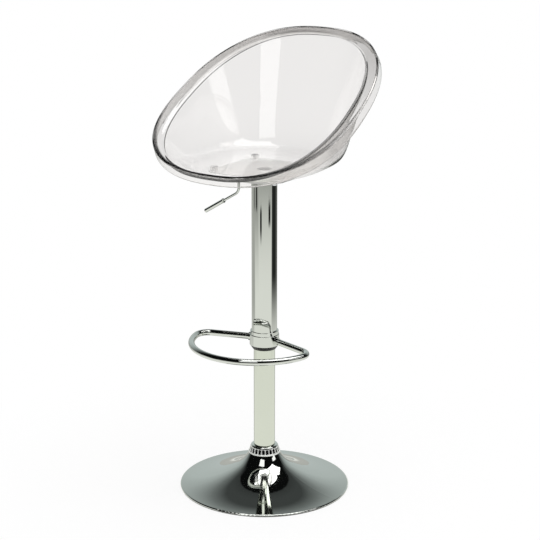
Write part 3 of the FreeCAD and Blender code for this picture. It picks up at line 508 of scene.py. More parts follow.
FINISHES: dict[str, Finish | ClearFinish] = {
    CHROME: Finish(
        main=(0.74, 0.76, 0.73),
        second=(0.70, 0.72, 0.68),
        kind=SurfaceKind.METAL,
        gloss=(0.02, 0.05),
        relief_depth=0.0000006,
    ),
    CAST_CHROME: Finish(
        main=(0.93, 0.95, 0.92),
        second=(0.88, 0.90, 0.87),
        kind=SurfaceKind.SATIN,
        gloss=(0.16, 0.24),
        relief=Relief.SKIN,
        relief_depth=0.000004,
        painted_pocket_shades=True,
    ),
    "column_chrome": Finish(
        main=(0.74, 0.77, 0.69),
        second=(0.70, 0.73, 0.65),
        kind=SurfaceKind.METAL,
        gloss=(0.10, 0.17),
        relief_depth=0.000001,
    ),
    "plate_steel": Finish(
        main=(0.88, 0.88, 0.87),
        second=(0.80, 0.80, 0.80),
        kind=SurfaceKind.SATIN,
        gloss=(0.14, 0.22),
        relief_scale=160.0,
        relief_depth=0.000006,
    ),
    "dark_steel": Finish(
        main=(0.03, 0.03, 0.032),
        second=(0.05, 0.05, 0.05),
        kind=SurfaceKind.DIELECTRIC,
        gloss=(0.38, 0.55),
        relief=Relief.SKIN,
        relief_scale=700.0,
        relief_depth=0.00003,
    ),
    "black_steel": Finish(
        main=(0.015, 0.015, 0.016),
        second=(0.025, 0.025, 0.025),
        kind=SurfaceKind.DIELECTRIC,
        gloss=(0.2, 0.3),
        relief=Relief.SKIN,
        relief_depth=0.00001,
        coat=0.3,
    ),
    "bearing_steel": Finish(
        main=(0.6, 0.6, 0.6),
        second=(0.52, 0.52, 0.53),
        kind=SurfaceKind.METAL,
        gloss=(0.08, 0.16),
    ),
    ZINC: Finish(
        main=(0.80, 0.81, 0.82),
        second=(0.70, 0.71, 0.73),
        kind=SurfaceKind.SATIN,
        gloss=(0.2, 0.34),
        relief=Relief.SKIN,
        relief_depth=0.000008,
    ),
    "nylon": Finish(
        main=(0.02, 0.02, 0.02),
        second=(0.03, 0.03, 0.03),
        kind=SurfaceKind.DIELECTRIC,
        gloss=(0.4, 0.55),
        relief=Relief.SKIN,
        relief_depth=0.00002,
    ),
    "rubber": Finish(
        main=(0.016, 0.016, 0.016),
        second=(0.03, 0.03, 0.03),
        kind=SurfaceKind.DIELECTRIC,
        gloss=(0.6, 0.8),
        relief=Relief.SKIN,
        relief_depth=0.00004,
    ),
    "clear_plastic": ClearFinish(
        tint=(0.895, 0.882, 0.872),
        # Painted shade: grey on the lip and near black along the crest
        painted_lip_shade_tint=(0.46, 0.447, 0.435),
        painted_crest_shade_tint=(0.007, 0.007, 0.007),
        gloss=(0.0, 0.012),
        bend=1.58,
    ),
}


class FinishRack:
    """The stool's materials by slot, and their use on the carried-over nodes."""

    def __init__(self) -> None:
        """Builds every finish once."""
        effects = SurfaceEffects()
        self.materials = {slot: finish.build(slot, effects) for slot, finish in FINISHES.items()}

    def dress_frame(self) -> None:
        """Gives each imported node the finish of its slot."""
        for subpart in frame["record"]["subparts"]:
            node = frame["nodes"][subpart["node"]]
            node.data.materials.clear()
            node.data.materials.append(self.materials[subpart["material_slot"]])
            log.info("dressed %s as %s", subpart["node"], subpart["material_slot"])


@dataclass(frozen=True)
class Layout:
    """Where the copies of a repeated piece stand around the column.

    Attributes:
        count: How many there are.
        radius: Their distance from the column's axis, in metres.
        phase: The turn of the first one, in degrees.
        step: The turn from one to the next, in degrees.
        weld: The distance within which neighbours' points are joined.
    """

    count: int
    radius: float
    phase: float
    step: float
    weld: float = 0.000001


class RingOfPieces:
    """A Geometry Nodes tree that repeats one piece around the column."""

    def __init__(self) -> None:
        """Builds the tree with its named inputs."""
        self.tree = bpy.data.node_groups.new("ring_of_pieces", "GeometryNodeTree")
        sockets = self.tree.interface
        sockets.new_socket("Piece", in_out="INPUT", socket_type="NodeSocketGeometry")
        kinds = {
            "Count": "NodeSocketInt",
            "Radius": "NodeSocketFloat",
            "Phase": "NodeSocketFloat",
            "Step": "NodeSocketFloat",
            "Weld": "NodeSocketFloat",
            "Finish": "NodeSocketMaterial",
        }
        self.inputs = {
            label: sockets.new_socket(label, in_out="INPUT", socket_type=kind).identifier
            for label, kind in kinds.items()
        }
        sockets.new_socket("Ring", in_out="OUTPUT", socket_type="NodeSocketGeometry")
        self._join_nodes(Nodes(self.tree))

    @staticmethod
    def _join_nodes(nodes: Nodes) -> None:
        """Joins the nodes: points on a circle, one turned copy on each, made real and welded.

        Args:
            nodes: The tree's nodes.
        """
        given = nodes.add("NodeGroupInput").outputs
        index = nodes.add("GeometryNodeInputIndex").outputs[0]
        turn = nodes.maths("ADD", nodes.maths("MULTIPLY", index, given["Step"]), given["Phase"])
        spot = nodes.add("ShaderNodeCombineXYZ")
        for axis, operation in (("X", "COSINE"), ("Y", "SINE")):
            reach = nodes.maths("MULTIPLY", nodes.maths(operation, turn), given["Radius"])
            nodes.feed(spot.inputs[axis], reach)
        points = nodes.add("GeometryNodePoints")
        nodes.fill(points, Count=given["Count"], Position=spot.outputs[0])
        heading = nodes.fill(nodes.add("ShaderNodeCombineXYZ"), Z=turn)
        rotation = nodes.fill(nodes.add("FunctionNodeEulerToRotation"), Euler=heading.outputs[0])
        copies = nodes.add("GeometryNodeInstanceOnPoints")
        nodes.fill(copies, Points=points.outputs[0], Instance=given["Piece"], Rotation=rotation.outputs[0])
        real = nodes.fill(nodes.add("GeometryNodeRealizeInstances"), Geometry=copies.outputs[0])
        weld = nodes.add("GeometryNodeMergeByDistance")
        nodes.fill(weld, Geometry=real.outputs[0], Distance=given["Weld"])
        dress = nodes.add("GeometryNodeSetMaterial")
        nodes.fill(dress, Geometry=weld.outputs[0], Material=given["Finish"])
        nodes.fill(nodes.add("NodeGroupOutput"), Ring=dress.outputs[0])

    def spread(self, one: bpy.types.Mesh, layout: Layout, finish: bpy.types.Material) -> bpy.types.Mesh:
        """Repeats a piece around the column.

        Args:
            one: The mesh of one copy, drawn beside the axis at no turn.
            layout: Where the copies stand.
            finish: Their material.

        Returns:
            One plain mesh of all the copies.
        """
        carrier = stand(one.name, one)
        modifier = carrier.modifiers.new("ring", "NODES")
        modifier.node_group = self.tree
        values = {
            "Count": layout.count,
            "Radius": layout.radius,
            "Phase": math.radians(layout.phase),
            "Step": math.radians(layout.step),
            "Weld": layout.weld,
            "Finish": finish,
        }
        for label, value in values.items():
            modifier[self.inputs[label]] = value
        mesh = baked(carrier)
        carrier.modifiers.remove(modifier)
        bpy.data.objects.remove(carrier)
        return mesh


@dataclass(frozen=True)
class Piece:
    """What a finished piece is called, what carries it and what it stands for.

    Attributes:
        name: Its name.
        body: The body that carries it.
        node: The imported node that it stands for.
        slot: The slot of its material.
        finish: A finish of its own, or the slot's.
    """

    name: str
    body: Body
    node: str
    slot: str
    finish: str = ""


class PieceMaker:
    """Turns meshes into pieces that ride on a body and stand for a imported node."""

    def __init__(self, rack: FinishRack) -> None:
        """Starts with the rack of the stool's finishes."""
        self.rack = rack
        self.ring = RingOfPieces()

    def place(self, piece: Piece, mesh: bpy.types.Mesh) -> None:
        """Makes a piece from a mesh whose place is in its points.

        Args:
            piece: What the piece is.
            mesh: Its mesh, in metres.
        """
        mesh.materials.clear()
        mesh.materials.append(self.rack.materials[piece.finish or piece.slot])
        mesh.shade_smooth()
        mesh.set_sharp_from_angle(angle=SHARP_EDGE)
        item = stand(piece.name, mesh)
        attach(item, piece.body.value)
        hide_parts(piece.node)
        log.info("made %s for %s, %d faces", piece.name, piece.node, len(mesh.polygons))

    def repeat(self, piece: Piece, one: bpy.types.Mesh, layout: Layout) -> None:
        """Makes a piece of copies that stand around the column.

        Args:
            piece: What the piece is.
            one: The mesh of one copy.
            layout: Where the copies stand.
        """
        finish = self.rack.materials[piece.finish or piece.slot]
        self.place(piece, self.ring.spread(one, layout, finish))


@dataclass(frozen=True)
class Ring:
    """One ring of a turned piece.

    Attributes:
        radius: Its radius, or the distance to its flats, in millimetres; 0 is a point.
        level: Its height along the piece's axis.
        sides: The number of flats, 0 for a round one.
    """

    radius: float
    level: float
    sides: int = 0

    def points(self, segments: int) -> list[Point]:
        """Works out the ring's points.

        Args:
            segments: Their number.

        Returns:
            The points in metres.
        """
        if self.radius == 0:
            return [(0.0, 0.0, self.level * MM)]
        found = []
        for index in range(segments):
            turn = 2 * math.pi * index / segments
            reach = self.radius * MM
            if self.sides:
                sector = 2 * math.pi / self.sides
                reach /= math.cos(turn % sector - sector / 2)
            found.append((reach * math.cos(turn), reach * math.sin(turn), self.level * MM))
        return found


def toward(heading: float) -> np.ndarray:
    """Returns the unit vector of a heading, in degrees, in the plane across the seat."""
    return np.array((math.cos(math.radians(heading)), math.sin(math.radians(heading))))


@dataclass(frozen=True)
class RodRing:
    """One ring of a bent rod that lies in the plane across the seat.

    Attributes:
        centre: Its centre, across and up, in millimetres.
        heading: The rod's direction there, in degrees.
        radius: Its radius, 0 for a point.
    """

    centre: np.ndarray
    heading: float
    radius: float

    def points(self, segments: int) -> list[Point]:
        """Works out the ring's points.

        Args:
            segments: Their number.

        Returns:
            The points in metres.
        """
        found = []
        for index in range(segments if self.radius else 1):
            turn = 2 * math.pi * index / segments
            across, up = self.centre + toward(self.heading + 90.0) * self.radius * math.cos(turn)
            found.append((across * MM, -self.radius * math.sin(turn) * MM, up * MM))
        return found


def skinned(
    name: str, rings: list[Ring] | list[RodRing], segments: int, closed: bool = False
) -> bpy.types.Mesh:
    """Skins rings along an axis or a rod, outside seen with the rings going up.

    Args:
        name: The mesh's name.
        rings: The rings in order.
        segments: The points around a ring.
        closed: Whether the last ring joins the first, as on a washer.

    Returns:
        The mesh.
    """
    corners: list[Point] = []
    loops: list[list[int]] = []
    for ring in rings:
        found = ring.points(segments)
        loops.append(list(range(len(corners), len(corners) + len(found))))
        corners.extend(found)
    faces = []
    pairs = list(zip(loops, loops[1:])) + ([(loops[-1], loops[0])] if closed else [])
    for low, high in pairs:
        for index in range(segments):
            after = (index + 1) % segments
            face = [low[index % len(low)], low[after % len(low)]]
            face += [high[after % len(high)], high[index % len(high)]]
            faces.append(tuple(dict.fromkeys(face)))
    return new_mesh(name, corners, faces)


@dataclass
class Screw:
    """A pan-head screw with a hexagon socket, head down, in millimetres.

    Attributes:
        head_radius: The head's radius.
        head_height: The head's height.
        length: The shank's length above the head.
        seat_level: The height at which the head seats.
        shank_radius: The shank's radius.
        socket: The distance from the axis to the socket's flats.
        socket_depth: The socket's depth as a share of the head's height.
        socket_edge: The width of the socket's chamfer.
        head_flat: The flat part of the head as a share of its radius.
        head_dome: The rounded part of the head as a share of its height.
        dome_turns: The steps around that part, in degrees.
        head_edge: The height of the head's edge.
        edge: The width of the other chamfers.
        thread: The height of one turn of thread.
        thread_crest: Where a turn starts to narrow, as a share of its height.
        thread_root: Where it is narrowest.
        thread_core: The thread's core as a share of the shank's radius.
        tip: The tip as a share of the shank's radius.
        segments: The points around the screw.
    """

    head_radius: float
    head_height: float
    length: float
    seat_level: float
    shank_radius: float = 3.0
    socket: float = 2.0
    socket_depth: float = 0.6
    socket_edge: float = 0.35
    head_flat: float = 0.72
    head_dome: float = 0.7
    dome_turns: tuple[float, ...] = (30, 60, 80)
    head_edge: float = 0.4
    edge: float = 0.25
    thread: float = 1.0
    thread_crest: float = 0.48
    thread_root: float = 0.98
    thread_core: float = 0.86
    tip: float = 0.8
    segments: int = 36

    def mesh(self, name: str) -> bpy.types.Mesh:
        """Makes the screw on its own axis.

        Args:
            name: The mesh's name.

        Returns:
            The mesh.
        """
        crown, flats = self.seat_level - self.head_height, 6
        floor = crown + self.head_height * self.socket_depth
        rings = [
            Ring(0.0, floor),
            Ring(self.socket, floor, flats),
            Ring(self.socket, crown + self.edge, flats),
            Ring(self.socket + self.socket_edge, crown, flats),
            Ring(self.head_radius * self.head_flat, crown),
        ]
        for turn in np.radians(self.dome_turns):
            out = self.head_radius * (self.head_flat + (1 - self.head_flat) * math.sin(turn))
            rings.append(Ring(out, crown + (1 - math.cos(turn)) * self.head_height * self.head_dome))
        rings += [
            Ring(self.head_radius, self.seat_level - self.head_edge),
            Ring(self.head_radius - self.edge, self.seat_level),
            Ring(self.shank_radius, self.seat_level),
        ]
        core = self.shank_radius * self.thread_core
        for index in range(int(self.length / self.thread) - 1):
            crest, root = index + self.thread_crest, index + self.thread_root
            rings.append(Ring(self.shank_radius, self.seat_level + crest * self.thread))
            rings.append(Ring(core, self.seat_level + root * self.thread))
        top = self.seat_level + self.length
        rings += [
            Ring(self.shank_radius, top - self.thread),
            Ring(self.shank_radius * self.tip, top),
            Ring(0.0, top),
        ]
        return skinned(name, rings, self.segments)


@dataclass
class SeatFixings:
    """The bolts and washers under the seat's plate, in millimetres.

    Attributes:
        spacing: The distance between neighbouring bolts.
        plate_level: The height of the plate's lower face.
        washer_radius: A washer's radius.
        washer_bore: The radius of its hole.
        washer_height: Its height.
        edge: The width of its chamfers.
        segments: The points around it.
    """

    spacing: float = 166.0
    plate_level: float = 771.0
    washer_radius: float = 8.0
    washer_bore: float = 3.3
    washer_height: float = 1.6
    edge: float = 0.3
    segments: int = 40

    def build(self, maker: PieceMaker) -> None:
        """Makes both sets.

        Args:
            maker: Makes the pieces.
        """
        corners = Layout(count=4, radius=self.spacing / math.sqrt(2) * MM, phase=45.0, step=90.0)
        washer_foot = self.plate_level - self.washer_height
        bolt = Screw(head_radius=6.0, head_height=4.0, length=13.6, seat_level=washer_foot)
        bolts = Piece("seat_bolt_set", Body.CARRIAGE, "seat_bolts", ZINC)
        maker.repeat(bolts, bolt.mesh("seat_bolt"), corners)
        washers = Piece("seat_washer_set", Body.CARRIAGE, "seat_washers", ZINC)
        maker.repeat(washers, self._washer(), corners)

    def _washer(self) -> bpy.types.Mesh:
        """Makes one washer with chamfered edges.

        Returns:
            The mesh.
        """
        low, high, edge = self.plate_level - self.washer_height, self.plate_level, self.edge
        rings = [
            Ring(self.washer_bore, low + edge),
            Ring(self.washer_bore + edge, low),
            Ring(self.washer_radius - edge, low),
            Ring(self.washer_radius, low + edge),
            Ring(self.washer_radius, high - edge),
            Ring(self.washer_radius - edge, high),
            Ring(self.washer_bore + edge, high),
            Ring(self.washer_bore, high - edge),
        ]
        return skinned("washer", rings, self.segments, closed=True)


@dataclass
class BaseFixings:
    """The four screws under the ballast plate, in millimetres.

    Attributes:
        circle: Their distance from the axis.
        ballast_level: The height of the plate's lower face.
    """

    circle: float = 47.0
    ballast_level: float = 5.0

    def build(self, maker: PieceMaker) -> None:
        """Makes the set.

        Args:
            maker: Makes the piece.
        """
        screw = Screw(head_radius=5.5, head_height=3.4, length=10.0, seat_level=self.ballast_level)
        layout = Layout(count=4, radius=self.circle * MM, phase=0.0, step=90.0)
        screws = Piece("socket_screw_set", Body.BASE, "socket_screws", ZINC)
        maker.repeat(screws, screw.mesh("socket_screw"), layout)


@dataclass
class LeverBar:
    """The release lever's bent rod, in the plane across the seat, in millimetres.

    Attributes:
        radius: The rod's radius.
        inner_end: Its end over the valve button, across and up.
        upper_corner: Where its upper run and its drop would cross.
        upper_bend: The radius of the bend there.
        lower_corner: Where its drop and its outer run would cross.
        lower_bend: The radius of the bend there.
        fall: The outer run's fall, in degrees.
        outer_run: The distance from the lower corner to the outer end.
        chamfer: The chamfer on both ends.
        bend_steps: The number of steps in a bend.
        segments: The points around the rod.
    """

    radius: float = 3.0
    inner_end: Pair = (3.0, 761.0)
    upper_corner: Pair = (-72.0, 761.0)
    upper_bend: float = 9.0
    lower_corner: Pair = (-72.0, 715.71)
    lower_bend: float = 19.0
    fall: float = 31.0
    outer_run: float = 111.79
    chamfer: float = 0.5
    bend_steps: int = 16
    segments: int = 24

    def build(self, maker: PieceMaker) -> None:
        """Makes the rod.

        Args:
            maker: Makes the piece.
        """
        level, down, outward = 180.0, 270.0, 180.0 + self.fall
        start = np.array(self.inner_end)
        end = np.array(self.lower_corner) + toward(outward) * self.outer_run
        rings = [
            RodRing(start, level, 0.0),
            RodRing(start, level, self.radius - self.chamfer),
            RodRing(start + toward(level) * self.chamfer, level, self.radius),
            *self._bend(self.upper_corner, self.upper_bend, level, down),
            *self._bend(self.lower_corner, self.lower_bend, down, outward),
            RodRing(end - toward(outward) * self.chamfer, outward, self.radius),
            RodRing(end, outward, self.radius - self.chamfer),
            RodRing(end, outward, 0.0),
        ]
        bar = Piece("lever_bar", Body.LEVER, "lever_rod", CHROME)
        maker.place(bar, skinned(bar.name, rings, self.segments))

    def _bend(self, corner: Pair, bend: float, before: float, after: float) -> list[RodRing]:
        """Rounds a corner of the rod.

        Args:
            corner: The corner, across and up.
            bend: The bend's radius.
            before: The heading into the corner, in degrees.
            after: The heading out of it.

        Returns:
            The bend's rings.
        """
        side = math.copysign(90.0, after - before)
        reach = bend * math.tan(math.radians(abs(after - before) / 2))
        middle = np.array(corner) - toward(before) * reach + toward(before + side) * bend
        headings = np.linspace(before, after, self.bend_steps + 1)
        return [RodRing(middle - toward(turn + side) * bend, turn, self.radius) for turn in headings]


@dataclass
class TrimCrown:
    """The cast crown around the foot of the column, with arched flutes, in millimetres.

    Attributes:
        foot_level: The height of its foot.
        height: Its height.
        foot_radius: The radius of its lower lip.
        foot_width: The width of its foot, as a share of the lip's height.
        lip: The lip's height.
        shoulder_radius: The radius where the fluted band ends.
        shoulder: The height of the rounded shoulder.
        top_radius: The radius where the shoulder ends.
        bore: The radius of its bore.
        wall: Its wall.
        edge: The width of its chamfers.
        flute_count: The number of flutes.
        flute_width: A flute's width.
        flute_depth: A flute's depth.
        flute_rise: A flute's length as a share of the band.
        flute_arch: The radius of a flute's arch as a share of its width.
        bead: The height of the bead around a flute.
        bead_offset: The distance of the bead's middle from the flute's edge.
        bead_width: How wide the bead is.
        soften: Half the width over which a flute's edge falls.
        pocket_gain: How quickly the painted shade in a flute darkens with its depth.
        pocket_start: How much of that is held back, so that its edge stays bright.
        polish_start: Where the polished shoulder starts above the band.
        lip_turns: The steps around the lip, in degrees.
        shoulder_turns: The steps around the shoulder.
        weld: The distance within which neighbouring sectors are joined.
        columns: The points across one flute's sector.
        band_rows: The points up the band.
    """

    foot_level: float = 83.0
    height: float = 19.5
    foot_radius: float = 38.5
    foot_width: float = 1.2
    lip: float = 3.2
    shoulder_radius: float = 33.2
    shoulder: float = 4.6
    top_radius: float = 29.8
    bore: float = 25.5
    wall: float = 2.6
    edge: float = 0.4
    flute_count: int = 24
    flute_width: float = 6.4
    flute_depth: float = 1.7
    flute_rise: float = 0.9
    flute_arch: float = 0.55
    bead: float = 0.4
    bead_offset: float = 0.55
    bead_width: float = 0.35
    soften: float = 0.3
    pocket_gain: float = 2.0
    pocket_start: float = 0.6
    polish_start: float = 0.3
    lip_turns: tuple[float, ...] = (0, 25, 50, 75)
    shoulder_turns: tuple[float, ...] = (15, 35, 55, 75, 90)
    weld: float = 0.02
    columns: int = 28
    band_rows: int = 36

    def build(self, maker: PieceMaker) -> None:
        """Makes the crown from one flute's sector.

        Args:
            maker: Makes the piece.
        """
        step = 360.0 / self.flute_count
        layout = Layout(self.flute_count, radius=0.0, phase=0.0, step=step, weld=self.weld * MM)
        crown = Piece("trim_crown", Body.BASE, "trim_ring", CHROME, CAST_CHROME)
        maker.repeat(crown, self._sector(step), layout)

    def _profile(self) -> tuple[np.ndarray, np.ndarray]:
        """Draws the section's outline from the foot's inner edge over the outside and back.

        Returns:
            The outline's (radius, height) points, and each one's share along the fluted band or -1.
        """
        foot, top = self.foot_level, self.foot_level + self.height
        band_foot = (self.foot_radius - self.lip / 2, foot + self.lip)
        band_head = (self.shoulder_radius, top - self.shoulder)
        outline = [
            (self.foot_radius - self.lip * self.foot_width, foot),
            (self.foot_radius - self.edge, foot),
            (self.foot_radius, foot + self.edge),
        ]
        for turn in np.radians(self.lip_turns):
            out = band_foot[0] + self.lip / 2 * math.cos(turn)
            outline.append((out, foot + self.lip / 2 * (1 + math.sin(turn))))
        shares = [-1.0] * len(outline)
        for share in np.linspace(0, 1, self.band_rows):
            spot = np.array(band_foot) * (1 - share) + np.array(band_head) * share
            outline.append((float(spot[0]), float(spot[1])))
            shares.append(float(share))
        for turn in np.radians(self.shoulder_turns):
            out = self.top_radius + (self.shoulder_radius - self.top_radius) * math.cos(turn)
            outline.append((out, band_head[1] + self.shoulder * math.sin(turn)))
        outline += [
            (self.bore + self.edge, top),
            (self.bore, top - self.edge),
            (self.bore, top - self.wall),
            (self.top_radius - self.wall / 2, top - self.wall),
            (band_head[0] - self.wall, band_head[1]),
            (band_foot[0] - self.wall, band_foot[1]),
        ]
        shares += [-1.0] * (len(outline) - len(shares))
        return np.array(outline), np.array(shares)

    def _sink(self, across: np.ndarray, along: np.ndarray, length: float) -> np.ndarray:
        """Works out how far the surface sinks at points of the fluted band.

        Args:
            across: Distances from the flute's middle.
            along: Distances from the band's middle, up the slant.
            length: The band's length.

        Returns:
            The depths, below zero on the bead.
        """
        half, rise = self.flute_width / 2, length * self.flute_rise
        cap = self.flute_width * self.flute_arch
        cap_level = rise / 2 - cap
        arch = np.where(along > cap_level, np.hypot(across, along - cap_level) - cap, -half)
        outside = np.maximum(np.maximum(np.abs(across) - half, -rise / 2 - along), arch)
        fall = np.clip((self.soften - outside) / (2 * self.soften), 0, 1)
        recess = fall * fall * (3 - 2 * fall) * self.flute_depth
        return recess - self.bead * np.exp(-(((outside - self.bead_offset) / self.bead_width) ** 2))

    def _sector(self, step: float) -> bpy.types.Mesh:
        """Makes one flute's sector, with its pocket's painted shade and its shoulder marked.

        Args:
            step: The sector's angle in degrees.

        Returns:
            The mesh.
        """
        outline, shares = self._profile()
        band = shares >= 0
        slant = outline[band][-1] - outline[band][0]
        length = float(np.linalg.norm(slant))
        inward = np.array((-slant[1], slant[0])) / length
        corners = []
        painted_pocket_shades: list[float] = []
        for turn in np.radians(np.linspace(-step / 2, step / 2, self.columns)):
            across = outline[:, 0] * turn
            sink = np.where(band, self._sink(across, (shares - 0.5) * length, length), 0.0)
            # Painted shade in the pocket, darker the deeper the flute sinks
            pocket_shade = sink / self.flute_depth * self.pocket_gain - self.pocket_start
            painted_pocket_shades += np.clip(pocket_shade, 0, 1).tolist()
            for radius, level in (outline + sink[:, None] * inward) * MM:
                corners.append((radius * math.cos(turn), radius * math.sin(turn), level))
        rows = len(outline)
        faces = []
        for column in range(self.columns - 1):
            near, far = column * rows, (column + 1) * rows
            for row in range(rows):
                after = (row + 1) % rows
                faces.append((near + row, far + row, far + after, near + after))
        mesh = new_mesh("flute_sector", corners, faces)
        mark_points(mesh, PAINTED_POCKET_SHADE, painted_pocket_shades)
        shoulder = outline[:, 1] > outline[band][-1, 1] + self.polish_start
        mark_points(mesh, POLISH, np.tile(shoulder.astype(float), self.columns).tolist())
        return mesh


@dataclass(frozen=True)
class RimPaintedShade:
    """Where painted shade greys the clear rim's lip and darkens its crest, with shares of half the rim's
    length along it.

    Attributes:
        back_start: Where the back's own grey starts.
        back_span: The length over which it comes in.
        depth: How far the lip's grey goes below the rim's plane, in walls.
        back_depth: How much further it goes at the back.
        outer_edge: The share of the rim's size over which it comes in from the crest.
        lip_middle: How grey the lip is at the middle of the sides.
        back_ease: How much less grey it is at the very back.
        bead: The width of the band of painted shade along the crest, in millimetres.
        bead_edge: The width over which the bead fades.
        bead_depth: How far the bead goes below the rim's plane, in radii of the crest.
        crest_middle: How dark the bead is at the middle of the sides.
        crest_slope: How much darker it gets to the front.
    """

    back_start: float = 0.7
    back_span: float = 0.2
    depth: float = 0.65
    back_depth: float = 0.9
    outer_edge: float = 0.015
    lip_middle: float = 0.35
    back_ease: float = 0.3
    bead: float = 5.5
    bead_edge: float = 2.5
    bead_depth: float = 0.6
    crest_middle: float = 0.6
    crest_slope: float = 0.5


# The lip's upper and lower faces: share of its width inside the crest, millimetres below its slope
LIP_ABOVE = [(1.0, 7.2), (0.962, 4.6), (0.898, 2.2), (0.82, 0.6), (0.745, 0.0), (0.4, 0.0)]
LIP_BELOW = [(0.4, 5.0), (0.732, 5.0), (0.816, 6.2), (0.87, 9.0)]

# The crest's round as shares of its radius, inward and down, with its middle, and a wall's share there
CREST_MIDDLE = 0.29
DIAGONAL = 0.707
CREST_ROUND = [(1.0, 0.0), (0.6, 0.08), (CREST_MIDDLE, CREST_MIDDLE), (0.08, 0.6)]

# Shares at which extra curves keep the skirt straight between its ends
SKIRT_HOLDS = (0.1, 0.9)


@dataclass
class SeatShell:
    """The clear bucket: level curves from a squarish floor to a tilted oval rim, in millimetres.

    Attributes:
        floor_level: The height of the floor's upper face.
        wall: The wall's thickness.
        floor_half_side: Half the floor's side.
        floor_fullness: How square the floor is.
        corner_spread: How far out the wall's corner lies, as a share.
        corner_rise: How high the wall's corner lies, as a share.
        corner_weight: How tight the corner between floor and wall is.
        rim_tilt: The rim's tilt in degrees.
        rim_centre_y: The rim's middle, front to back.
        rim_centre_level: The height of the rim's middle.
        rim_half_width: Half the rim's width.
        rim_half_length: Half the rim's length.
        rim_fullness: How full the rim's oval is.
        rim_taper: How much narrower the back is.
        lip_at_sides: The lip's width at the sides.
        lip_at_back: The lip's width at the back.
        lip_at_front: The lip's width at the front.
        front_trim: How much shorter the rim is at the front.
        lip_drop: How far the lip falls to the bowl at the front.
        lip_ease: The share of that fall at the sides and the back.
        skirt_height: The skirt's height.
        skirt_flare: How far the skirt spreads.
        skirt_stretch: How much higher the skirt is at the front, as a share.
        skirt_round: The round of the skirt's lower edge, as a share of the wall.
        crest_round: The radius of the crest.
        tint: Where painted shade greys the rim's lip and darkens its crest.
        boss_radius: The radius of the bosses under the floor.
        boss_spacing: The distance between the bosses.
        boss_foot: The height of the bosses' lower ends.
        boss_segments: The points around a boss.
        insert_radius: The radius of the holes for the inserts.
        insert_top: The height at which those holes end.
        cut_margin: How far below the bosses the holes start, for a clean cut.
        around: The points around a curve.
        wall_steps: The curves up the wall.
        end_crowding: How much closer they lie near both ends.
        span_steps: The curves from one station of the rim to the next.
        floor_steps: The curves from the floor's middle to its outline.
    """

    floor_level: float = 790.0
    wall: float = 5.0
    floor_half_side: float = 95.0
    floor_fullness: float = 5.0
    corner_spread: float = 0.6
    corner_rise: float = 0.02
    corner_weight: float = 4.0
    rim_tilt: float = 31.0
    rim_centre_y: float = 9.0
    rim_centre_level: float = 940.0
    rim_half_width: float = 251.0
    rim_half_length: float = 277.0
    rim_fullness: float = 2.4
    rim_taper: float = 0.06
    lip_at_sides: float = 36.0
    lip_at_back: float = 22.0
    lip_at_front: float = 7.0
    front_trim: float = 9.0
    lip_drop: float = 3.0
    lip_ease: float = 0.6
    skirt_height: float = 25.0
    skirt_flare: float = 2.5
    skirt_stretch: float = 0.14
    skirt_round: float = 0.15
    crest_round: float = 3.0
    tint: RimPaintedShade = RimPaintedShade()
    boss_radius: float = 9.0
    boss_spacing: float = 166.0
    boss_foot: float = 775.1
    boss_segments: int = 48
    insert_radius: float = 5.15
    insert_top: float = 783.6
    cut_margin: float = 1.0
    around: int = 256
    wall_steps: int = 36
    end_crowding: float = 1.6
    span_steps: int = 4
    floor_steps: int = 7

    def build(self, maker: PieceMaker) -> None:
        """Makes the bucket with its bosses.

        Args:
            maker: Makes the piece.
        """
        bosses = self._posts(self.boss_radius, self.boss_foot, self.floor_level - self.wall / 2)
        holes = self._posts(self.insert_radius, self.boss_foot - self.cut_margin, self.insert_top)
        bucket = self._combine(self._shell(), bosses, Joining.UNION)
        bucket = self._combine(bucket, holes, Joining.DIFFERENCE)
        maker.place(Piece("seat_bucket", Body.CARRIAGE, "seat_shell", "clear_plastic"), bucket)

    @property
    def turns(self) -> np.ndarray:
        """The directions of the points around a curve."""
        return np.linspace(0, 2 * np.pi, self.around, endpoint=False)

    @property
    def front(self) -> np.ndarray:
        """How far to the front each point of a curve is, from 0 at the sides and the back to 1."""
        return np.clip(-np.sin(self.turns), 0, 1) ** 2

    def _oval(self, half_width: float, half_length: float | np.ndarray, fullness: float) -> np.ndarray:
        """Draws an oval that is fuller than an ellipse.

        Args:
            half_width: Half its width.
            half_length: Half its length, all around or at each point.
            fullness: How full it is, 2 for an ellipse.

        Returns:
            Its points as an array of (across, along).
        """
        way = np.stack([np.cos(self.turns), np.sin(self.turns)])
        fill = np.abs(way[0] / half_width) ** fullness + np.abs(way[1] / half_length) ** fullness
        return (way * fill ** (-1 / fullness)).T

    def _rim(self, side: float, end: float | np.ndarray, below: float | np.ndarray) -> np.ndarray:
        """Draws a curve around the tilted rim.

        Args:
            side: How far it lies outside the rim at the sides.
            end: How far it lies outside the rim at front and back, or at each point's own end.
            below: How far it lies below the rim's plane, all around or at each point.

        Returns:
            The curve's points.
        """
        tilt = math.radians(self.rim_tilt)
        half_length = self.rim_half_length + end - self.front_trim * (np.sin(self.turns) < 0)
        across, along = self._oval(self.rim_half_width + side, half_length, self.rim_fullness).T
        across = across * (1 - self.rim_taper * along / half_length)
        deep = self.rim_centre_y + along * math.cos(tilt) + below * math.sin(tilt)
        level = self.rim_centre_level + along * math.sin(tilt) - below * math.cos(tilt)
        return np.stack([across, deep, level], axis=1)

    def _lip(self, inward: float, below: float, thick: float = 0.0) -> np.ndarray:
        """Draws a curve of the lip.

        Args:
            inward: Its share of the lip's width inside the crest.
            below: How far it lies below the lip's slope.
            thick: How far it lies outside that share.

        Returns:
            The curve's points.
        """
        fall = self.lip_drop * inward * (self.lip_ease + (1 - self.lip_ease) * self.front)
        width = np.where(self.front > 0, self.lip_at_front, self.lip_at_back)
        return self._rim(thick - self.lip_at_sides * inward, thick - width * inward, below + fall)

